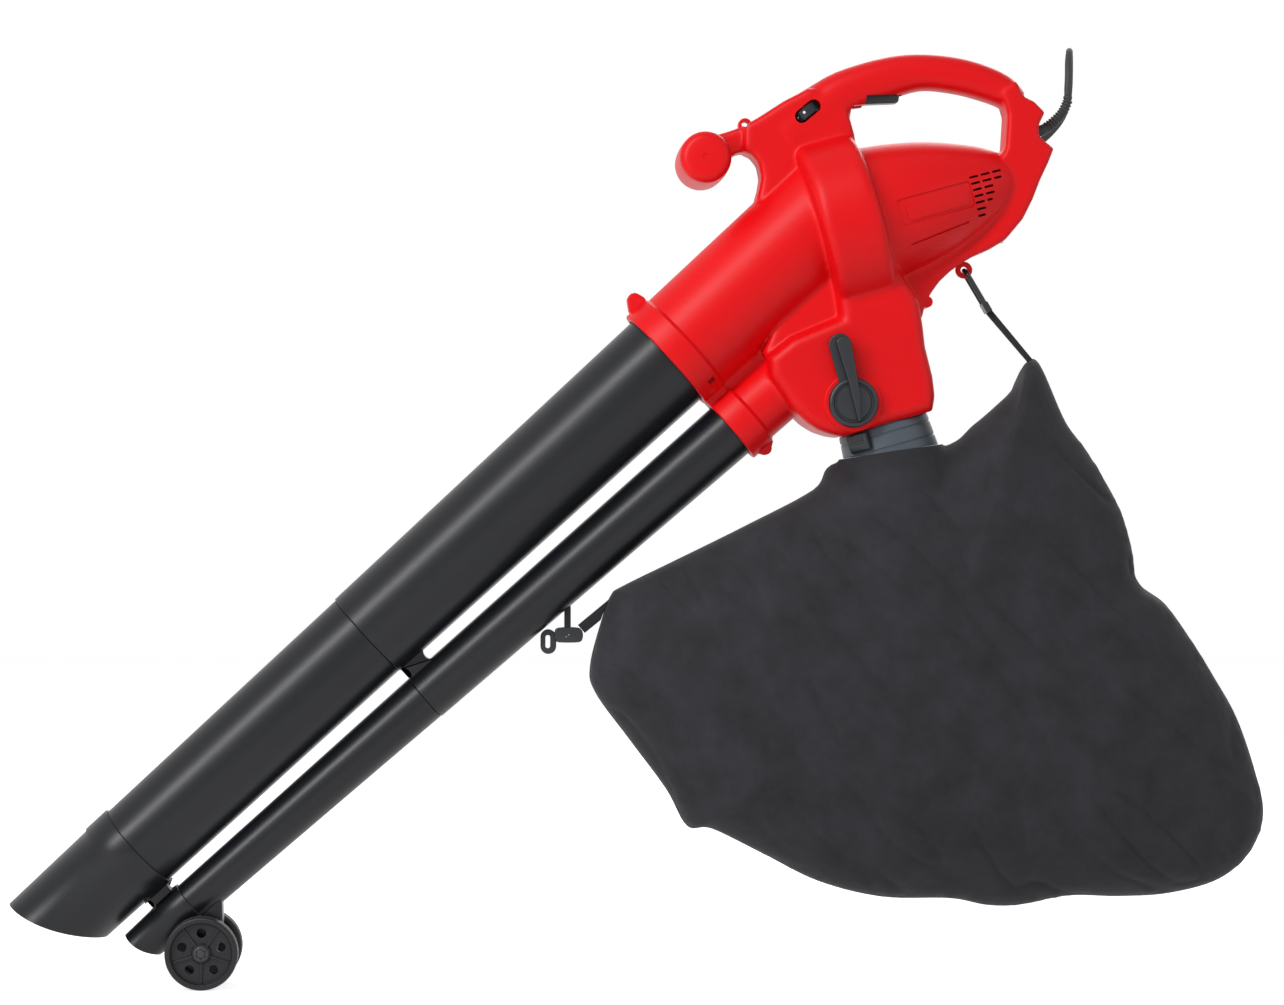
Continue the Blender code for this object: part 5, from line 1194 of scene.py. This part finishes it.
collarShape = {
    "neckEnd": 193.0, "top": 43.2, "end": 46.0, "drop": 26.5, "slant": 7.5, "wall": 2.5, "bore": 40.0,
    "rings": (6.5, 20.0),
}


def collarWedge(name, gap, far):
    reach = 75.0
    slope = math.tan(math.radians(collarShape["slant"]))
    end = collarShape["neckEnd"] + collarShape["drop"] + gap
    outline = [(end - reach * slope, -reach), (end + reach * slope, reach), (far, reach), (far, -reach)]
    return plateOf(name, outline, -reach, reach, outletAxis)


def buildCollar(shape):
    start = shape["neckEnd"] - 19.5
    seat = shape["neckEnd"] + 0.3
    end = shape["neckEnd"] + shape["drop"] + 10.0
    bore, wall = shape["bore"], shape["wall"]
    profile = [(start, bore), (seat, bore)] + arc((seat + 1.0, shape["top"] - 1.0), 1.0, 180.0, 90.0, 6)
    profile += [(seat + 3.0, shape["top"] + 0.4)]
    for ring in shape["rings"]:         # shallow, round the collar
        radius = shape["top"] + 0.4 + (shape["end"] - shape["top"] - 0.4) * (ring - 3.0) / 33.2
        step = seat + ring
        profile += [(step, radius), (step + 0.5, radius - 0.7), (step + 1.5, radius - 0.7)]
        profile += [(step + 2.0, radius + 0.05)]
    profile += [(end, shape["end"]), (end, shape["end"] - wall)]
    profile += [(seat + 3.0, bore - wall), (start, bore - wall)]
    collar = spun("bagCollar", profile, outletAxis, 128)
    return combined(collar, "DIFFERENCE", [collarWedge("end", 0.0, end + 10.0)])


latchShape = {
    "turn": 130.0, "half": 11.0, "grooves": 4, "grooveStart": 3.2, "groovePitch": 2.3, "grooveRadius": 0.55,
}


def buildLatch(shape, details):
    place = outletAxis @ Matrix.Rotation(math.radians(details["turn"]), 4, "X")
    seat = shape["neckEnd"] + 0.3
    low = shape["neckEnd"] + shape["drop"] - 7.5
    inner = shape["top"] + 0.7
    end = shape["neckEnd"] + shape["drop"] + 10.0
    lowInner = inner + (shape["end"] - shape["top"] - 0.4) * (low - seat - 3.0) / (end - seat - 3.0)
    outline = [(seat + 1.0, inner), (seat + 1.0, inner + 4.4), (seat + 1.6, inner + 6.2),
               (seat + 4.0, inner + 7.0), (seat + 9.0, inner + 7.1), (low - 3.0, lowInner + 5.0),
               (low - 0.6, lowInner + 3.4), (low, lowInner + 2.4), (low, lowInner)]
    latch = plateOf("bagLatch", outline, -details["half"], details["half"], place, 0.7, 3)
    grooves = []
    for k in range(details["grooves"]):     # for the finger, across the press pad
        along = seat + details["grooveStart"] + details["groovePitch"] * k
        spot = place @ Matrix.Translation((along * mm, 0.0, (inner + 7.25) * mm))
        spot = spot @ Matrix.Rotation(math.radians(90.0), 4, "Z")
        grooves.append(rodOf("groove", details["grooveRadius"], -8.5, 8.5, spot, 16, 0.3))
    return combined(latch, "DIFFERENCE", grooves)


dressed(buildCollar(collarShape), "collarPlastic", "machine", "bag_collar")
dressed(buildLatch(collarShape, latchShape), "controlPlastic", "latch_body", "bag_latch")


# Bag: a sewn shell of two panels that sags from its mouth, with piping along the seam

bagShape = {
    "centre": (0.0, -570.0), "depth": 76.0, "fullness": 0.75, "levels": 26, "voxel": 3.0, "smoothing": 5,
    "piping": 1.7, "pipingInset": 1.6, "mouthRadius": 47.5, "roomRadius": 52.0,
    "stillEnd": 232.0, "stillFade": 50.0,       # the cloth stays smooth up to here on the collar's axis
}
folds = {           # lengths of the waves along X, Y and Z, then their heights
    "swellWave": (95.0, 60.0, 95.0), "swell": 4.5, "creaseWave": (46.0, 52.0, 60.0, 120.0), "crease": 2.6,
    "puckerWave": (9.0, 55.0, 9.0), "pucker": 1.4, "puckerReach": 42.0, "seamHold": 8.0, "settled": 30.0,
}
bagOutline = [
    (-86.5, -364.5), (-110.2, -391.0), (-175.8, -425.6), (-237.5, -456.0), (-292.0, -482.6),
    (-303.1, -491.1), (-311.6, -513.0), (-323.0, -557.6), (-318.2, -583.3), (-285.9, -627.9),
    (-250.8, -675.4), (-230.8, -710.6), (-207.1, -713.4), (-158.7, -737.2), (-105.4, -763.8),
    (-44.6, -779.0), (20.9, -780.9), (56.0, -787.5), (87.4, -787.5), (134.9, -779.0), (183.3, -779.9),
    (231.8, -777.1), (280.2, -763.8), (310.6, -737.2), (323.0, -702.0), (315.4, -662.1), (297.3, -609.9),
    (275.5, -570.9), (253.6, -535.8), (228.0, -500.6), (201.4, -478.8), (194.8, -443.6), (181.4, -403.8),
    (152.9, -355.3), (131.1, -324.9), (106.4, -270.5), (93.1, -270.5), (87.4, -285.0), (79.8, -296.5),
    (69.3, -306.9), (43.7, -328.9), (12.0, -350.5),
]


def bagFolds(point, toSeam):
    # how far the cloth moves in or out: slow swells, and puckers that fade away from the seam
    x, y, z = point / mm
    a, b, c = folds["swellWave"]
    swell = noise.noise(Vector((x / a, y / b, z / c))) * folds["swell"]
    a, b, c, d = folds["creaseWave"]        # runs slantwise, so X and Z share its first wave
    crease = noise.noise(Vector((x / a + z / b, y / c, z / d)))
    crease = -(1.0 - min(1.0, abs(crease) * 4.0)) ** 2 * folds["crease"]
    a, b, c = folds["puckerWave"]
    pucker = noise.noise(Vector((x / a, y / b, z / c))) * folds["pucker"]
    fade = max(0.0, 1.0 - toSeam / folds["puckerReach"]) * min(1.0, toSeam / folds["seamHold"])
    return (swell + crease) * min(1.0, toSeam / folds["settled"]) + pucker * fade


def bagSkin(shape, line):
    # both panels and the round mouth as one closed skin
    centre = Vector((shape["centre"][0], 0.0, shape["centre"][1]))
    mesh = bmesh.new()
    loops = []
    for level in range(1, shape["levels"]):
        turn = math.pi * (level / shape["levels"] - 0.5)
        share = math.cos(turn) ** shape["fullness"]
        y = shape["depth"] * math.sin(turn)
        loop = []
        for point in line:
            here = centre.lerp(Vector(point), share)
            loop.append(mesh.verts.new((here.x * mm, y * mm, here.z * mm)))
        loops.append(loop)
    body = skinOver("bag", mesh, loops)
    start, radius = collarShape["neckEnd"] + 2.0, shape["mouthRadius"]
    profile = [(start, 0.0), (start, radius), (start + 24.0, radius), (start + 60.0, 56.0)]
    profile += [(start + 145.0, 66.0), (start + 145.0, 0.0)]
    mouth = spun("mouth", profile, outletAxis, 96)
    return remeshed(joined("bag", [body, mouth]), shape["voxel"], shape["smoothing"])


def buildBag(shape):
    line = flowingLoop([(x, 0.0, z) for x, z in bagOutline], 7)
    bag = bagSkin(shape, line)
    seam = [Vector(point) * mm for point in line[::2]]
    tree = KDTree(len(seam))
    for k, point in enumerate(seam):
        tree.insert(point, k)
    tree.balance()
    mouthPlace = outletAxis.inverted()
    outward = [vertex.normal.copy() for vertex in bag.data.vertices]
    for vertex, normal in zip(bag.data.vertices, outward):
        flat = Vector((vertex.co.x, 0.0, vertex.co.z))
        away = tree.find(flat)[2] / mm + abs(vertex.co.y) / mm * 0.35
        beyond = (mouthPlace @ vertex.co).x / mm - shape["stillEnd"]
        hanging = max(0.0, min(1.0, beyond / shape["stillFade"]))
        vertex.co += normal * (bagFolds(vertex.co, away) * hanging * mm)
    room = rodOf("room", shape["roomRadius"], 183.0, 240.0, outletAxis, 96)
    combined(room, "DIFFERENCE", [collarWedge("end", 0.3, 290.0)])
    combined(bag, "DIFFERENCE", [room])
    return bag, line


def tubeAlong(name, points, radius, closed=False, resolution=3):
    curve = bpy.data.curves.new(name, "CURVE")
    curve.dimensions = "3D"
    curve.bevel_depth = radius * mm
    curve.bevel_resolution = resolution
    curve.use_fill_caps = True
    spline = curve.splines.new("POLY")
    spline.points.add(len(points) - 1)
    for target, point in zip(spline.points, points):
        target.co = (point[0] * mm, point[1] * mm, point[2] * mm, 1.0)
        target.radius = point[3] / radius if len(point) > 3 else 1.0
    spline.use_cyclic_u = closed
    piece = bpy.data.objects.new(name, curve)
    bpy.context.scene.collection.objects.link(piece)
    return piece


def asMesh(piece):
    pick(piece)
    bpy.ops.object.convert(target="MESH")
    return bpy.context.object


bag, seamLine = buildBag(bagShape)
inward = drawnIn([(x, z) for x, y, z in seamLine], bagShape["pipingInset"])
piping = asMesh(tubeAlong("piping", [(x, 0.0, z) for x, z in inward], bagShape["piping"], closed=True))
bag = joined("bag", [bag, piping])
dressed(bag, "bagCloth", "machine", "bag", angle=60.0)
print("bag built", len(bag.data.vertices))


# Straps and their hooks

def stitchRow(start, end, y, count):
    # short raised threads in a row on the face of a strap
    stitches = []
    for k in range(count):
        share = (k + 0.5) / count
        x = start[0] + (end[0] - start[0]) * share
        z = start[1] + (end[1] - start[1]) * share
        run = math.degrees(math.atan2(end[1] - start[1], end[0] - start[0]))
        length = math.hypot(end[0] - start[0], end[1] - start[1]) / count * 0.62
        place = frameAt((x, z), run, y)
        stitches.append(rodOf("stitch", 0.32, -length / 2, length / 2, place, 10, 0.15))
    return stitches


straps = {          # outline, and rows of stitches with their start, end and count
    "frontStrap": ([(-334.6, -519.6), (-305.5, -495.6), (-312.9, -514.8), (-328.0, -527.1)],
                   [((-331.0, -520.5), (-309.0, -502.3), 9), ((-327.8, -524.5), (-311.8, -511.4), 7)]),
    "rearStrap": ([(59.5, -218.0), (101.5, -268.3), (96.0, -270.0), (54.5, -222.0)],
                  [((59.0, -221.5), (97.5, -267.5), 18)]),
}
hookOutline = [     # round the pin
    (-12.0, 5.0), (-12.4, 0.0), (-11.0, -5.0), (-6.0, -6.2), (8.0, -6.2), (13.0, -4.8), (14.6, 0.0),
    (13.6, 5.2), (9.0, 8.0), (-7.0, 8.0), (-11.4, 6.4),
]


def buildStrap(name):
    outline, rows = straps[name]
    parts = [plateOf(name, outline, -2.0, 2.0, middle, 0.6, 3)]
    for y in (-2.0, 2.0):
        for start, end, count in rows:
            parts += stitchRow(start, end, y, count)
    return joined(name, parts)


def buildFrontHook():
    # a clip on the tab's pin with a ring to pull it by
    x, z = hookPin
    outline = evenLine([(x + u, z + v) for u, v in hookOutline], 1.5)
    body = plateOf("frontHook", [tuple(point) for point in outline], -5.0, 5.0, middle, 1.2, 4)
    pull = plateOf("pull", oval(23.5, 15.0), -2.5, 2.5, frameAt((x - 18.2, z - 5.4), 90.0), 1.2, 4)
    combined(body, "UNION", [pull])
    slot = boxOf("slot", (x - 5.8, x + 5.8), (-2.5, 2.5), (z - 3.4, z + 20.0), middle)
    eye = plateOf("eye", oval(12.5, 4.5), -9.0, 9.0, frameAt((x - 18.7, z - 5.4), 90.0))
    combined(body, "DIFFERENCE", [slot, eye, rodOf("hole", pinBore, -9.0, 9.0, acrossAt(hookPin), 32)])
    return body


rearHookShape = {"centre": (45.0, -200.0), "length": 42.0, "width": 16.0, "wire": 2.2, "sleeveAt": 16.5}


def buildRearHook(shape):
    eye, centre = Vector(housingShape["rearEye"]), Vector(shape["centre"])
    along = (eye - centre).normalized()
    outline = oval(shape["length"], shape["width"], 25)
    points = [(centre.x + along.x * u, v, centre.y + along.y * u) for u, v in outline]
    loop = asMesh(tubeAlong("rearHook", points, shape["wire"], closed=True, resolution=5))
    # a moulded sleeve where the wire's ends meet, which also holds the strap
    turn = math.degrees(math.atan2(along.y, along.x))
    away = shape["sleeveAt"]
    place = frameAt((centre.x - along.x * away, centre.y - along.y * away), turn)
    sleeve = boxOf("sleeve", (-8.6, 1.5), (-9.6, 9.6), (-3.0, 3.0), place, 1.0)
    return joined("rearHook", [loop, sleeve])


dressed(buildStrap("frontStrap"), "webbing", "front_strap_body", "front_strap")
dressed(buildStrap("rearStrap"), "webbing", "rear_strap_body", "rear_strap")
dressed(buildFrontHook(), "controlPlastic", "front_strap_body", "front_hook")
dressed(buildRearHook(rearHookShape), "controlPlastic", "rear_strap_body", "rear_hook")
hookAxle = rodOf("frontHookPin", 1.5, -5.0, 5.0, acrossAt(hookPin), 32, 0.4)
dressed(hookAxle, "darkSteel", "machine", "front_hook_pin")
print("straps built")


# Mains lead: boot, cord and plug

cordRoute = [
    (134.0, 0.0, -14.5), (134.0, 0.0, -7.5), (134.8, 1.5, 4.0), (136.0, 7.5, 18.0), (138.8, 18.3, 28.4),
    (141.7, 33.0, 32.5), (144.5, 47.5, 28.0), (146.3, 57.5, 17.0), (146.7, 62.0, 2.0), (145.2, 63.5, -13.0),
    (139.9, 63.5, -28.0), (129.3, 63.0, -42.0), (115.0, 62.0, -54.5), (100.0, 61.0, -66.0),
    (84.0, 60.0, -78.0), (74.0, 59.0, -89.0), (70.0, 58.5, -97.0), (70.0, 58.5, -104.0),
]
bootRoute = [
    (104.0, 0.0, -49.5, 5.6), (112.5, 0.0, -45.8, 5.4), (121.0, 0.0, -39.2, 5.2), (128.5, 0.0, -31.0, 5.0),
    (132.8, 0.0, -22.5, 4.9), (134.0, 0.0, -18.5, 4.8), (134.0, 0.0, -14.8, 4.8),
]
cordRadius = 3.3
bootShape = {"radius": 5.6, "ringHeight": 0.55, "ringsFrom": 0.22, "ringsTo": 0.94, "taper": 0.3}
plugShape = {"flutes": 10, "fluteOffset": 19.6, "pinOffset": 9.5, "gap": 0.3}


def buildBoot(shape):
    # a bend relief of soft rings, thinner towards the cord
    line = evenLine(bootRoute, 0.8)
    ringed = []
    for k, (x, y, z, radius) in enumerate(line):
        share = k / (len(line) - 1)
        wave = 0.0
        if shape["ringsFrom"] <= share <= shape["ringsTo"]:
            wave = shape["ringHeight"] * (1 if (k // 2) % 2 else -1)
        ringed.append((x, y, z, radius - 0.25 + wave - share * shape["taper"]))
    return asMesh(tubeAlong("cordBoot", ringed, shape["radius"], resolution=6))


def buildCord():
    run = [cordRoute[0], *evenLine(cordRoute[1:-1], 4.0), cordRoute[-1]]
    cord = tubeAlong("powerCord", run, cordRadius, resolution=6)
    length = sum((Vector(b) - Vector(a)).length for a, b in zip(run, run[1:])) * mm
    return cord, length


def buildPlug(shape):
    x, y, z = cordRoute[-1]
    down = Matrix.Translation((x * mm, y * mm, (z - shape["gap"]) * mm))
    down = down @ Matrix.Rotation(math.radians(90.0), 4, "Y")
    profile = [(0.0, 0.0), (0.0, 4.6), (0.5, 5.0)]
    for k in range(4):              # soft rings of the plug's own bend relief
        start = 1.5 + 2.3 * k
        radius = 5.3 + 0.4 * k
        profile += [(start, radius), (start + 1.2, radius), (start + 1.5, radius - 0.6)]
        profile += [(start + 2.0, radius - 0.6)]
    profile += [(11.5, 7.0), (13.0, 10.0), (15.5, 14.5), (18.5, 17.6), (21.0, 18.5), (28.6, 18.5)]
    profile += [(29.6, 18.1), (30.0, 17.2), (30.0, 0.0)]
    plug = spun("plug", profile, down, 96)
    grips = []
    for k in range(shape["flutes"]):        # shallow, to pull it by
        place = spokeOf(down, k, shape["flutes"]) @ Matrix.Translation((0.0, 0.0, shape["fluteOffset"] * mm))
        grips.append(rodOf("flute", 2.0, 20.0, 27.0, place, 24, 1.2))
    parts = [painted(combined(plug, "DIFFERENCE", grips), "rubberBlack")]
    for side in (-1.0, 1.0):
        place = down @ Matrix.Translation((0.0, 0.0, side * shape["pinOffset"] * mm))
        parts.append(painted(rodOf("sleeve", 1.95, 29.0, 38.5, place, 32, 0.2), "rubberBlack"))
        parts.append(painted(rodOf("pin", 2.0, 38.3, 47.0, place, 32, 0.9), "bareSteel"))
    return joined("cordPlug", parts)


dressed(buildBoot(bootShape), "rubberBlack", "machine", "cord_boot")
cord, cordLength = buildCord()
dressed(cord, "rubberBlack", "machine", "power_cord")
plug = buildPlug(plugShape)
dressed(plug, "rubberBlack", "machine", "cord_plug")
print("lead built, cord", round(cordLength, 4), "m")


# Inner pieces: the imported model's own shapes, with surfaces of their own

inside = {
    "fanPlastic": ["impeller"],
    "bareSteel": ["impeller_nut", "motor_shaft", "front_bearing", "rear_bearing", "mode_shaft",
                  "trigger_pin", "trigger_spring"],
    "darkSteel": ["stator"],
    "windings": ["field_coil_front", "field_coil_rear", "armature", "commutator"],
    "controlPlastic": ["brush_ring", "mode_flap", "power_switch"],
    "brushCarbon": ["brush_upper", "brush_lower"],
}
for finish, nodes in inside.items():
    for node in nodes:
        for slot in cad[node].material_slots:
            slot.material = finishes[finish]


# Light, backdrop and floor

studio = {
    "key": ((-0.47, -0.68, 0.56), 2.5, (2.6, 0.4), 64.0),     # direction, distance, size, watts
    "fill": ((0.75, -0.6, 0.25), 3.0, (2.2, 2.2), 10.0),
    "back": ((0.35, 0.85, 0.5), 3.0, (1.6, 1.6), 26.0),
    "tubesMiddle": (-0.61, 0.0, -0.50),
    "worldLight": 0.30, "floorGlow": 0.70, "floorLevel": -0.8592,
}


def addLight(name, aim, along, direction, distance, size, watts):
    # a lamp that faces a point, with its long side as near as it can be to a direction
    outward = Vector(direction).normalized()
    place = aim + outward * distance
    bpy.ops.object.light_add(type="AREA", location=place)
    light = bpy.context.object
    light.name = name
    light.data.energy = watts
    light.data.shape = "RECTANGLE"
    light.data.size, light.data.size_y = size
    side = (along - outward * along.dot(outward)).normalized()
    light.rotation_euler = Matrix((side, outward.cross(side), outward)).transposed().to_euler()


def whenSeen(tree):
    # 1 for rays from the camera, in mirrors and through glass, else 0
    rays = addNode(tree, "LightPath", {})
    seen = addNode(
        tree, "Math", {0: (rays, "Is Camera Ray"), 1: (rays, "Is Glossy Ray")}, operation="MAXIMUM")
    either = addNode(
        tree, "Math", {0: (seen, 0), 1: (rays, "Is Transmission Ray")}, operation="MAXIMUM")
    return either, 0


def buildBackdrop():
    # a plain world, white where it is seen and weaker as light
    world = bpy.data.worlds.new("studio")
    world.use_nodes = True
    bpy.context.scene.world = world
    tree = world.node_tree
    level = addNode(tree, "MapRange", {
        "Value": whenSeen(tree), "To Min": studio["worldLight"], "To Max": 1.0})
    feed(tree, tree.nodes["Background"], {"Color": (1.0, 1.0, 1.0, 1.0), "Strength": (level, "Result")})


def buildFloor(level):
    # the floor fades into the white surroundings away from the shadow
    bpy.ops.mesh.primitive_plane_add(size=14.0, location=(0.0, 0.0, level))
    floor = bpy.context.object
    floor.name = "studioFloor"
    material, tree, shader = newMaterial("paleFloor")
    place = (addNode(tree, "TexCoord", {}), "Object")
    faint = addNode(tree, "TexNoise", {"Vector": place, "Scale": 3.0})
    tone = addNode(tree, "Mix", data_type="RGBA", inputs={
        "Factor": (faint, "Fac"), "A": (0.92, 0.92, 0.92, 1.0), "B": (0.94, 0.94, 0.94, 1.0)})
    glow = addNode(tree, "Math", {0: whenSeen(tree), 1: studio["floorGlow"]}, operation="MULTIPLY")
    feed(tree, shader, {
        "Base Color": (tone, "Result"), "Roughness": 0.9, "Specular IOR Level": 0.0,
        "Emission Color": (1.0, 1.0, 1.0, 1.0), "Emission Strength": (glow, 0)})
    floor.data.materials.append(material)
    return floor


sideways = Vector((1.0, 0.0, 0.0))
tubeLine = (suctionAxis.to_3x3() @ sideways).normalized()
addLight("keyLight", Vector(studio["tubesMiddle"]), tubeLine, *studio["key"])
addLight("fillLight", target, sideways, *studio["fill"])
addLight("backLight", target, sideways, *studio["back"])
buildBackdrop()
buildFloor(studio["floorLevel"])
bpy.context.scene.view_settings.view_transform = "Standard"
print("studio ready")


print("scene finished")
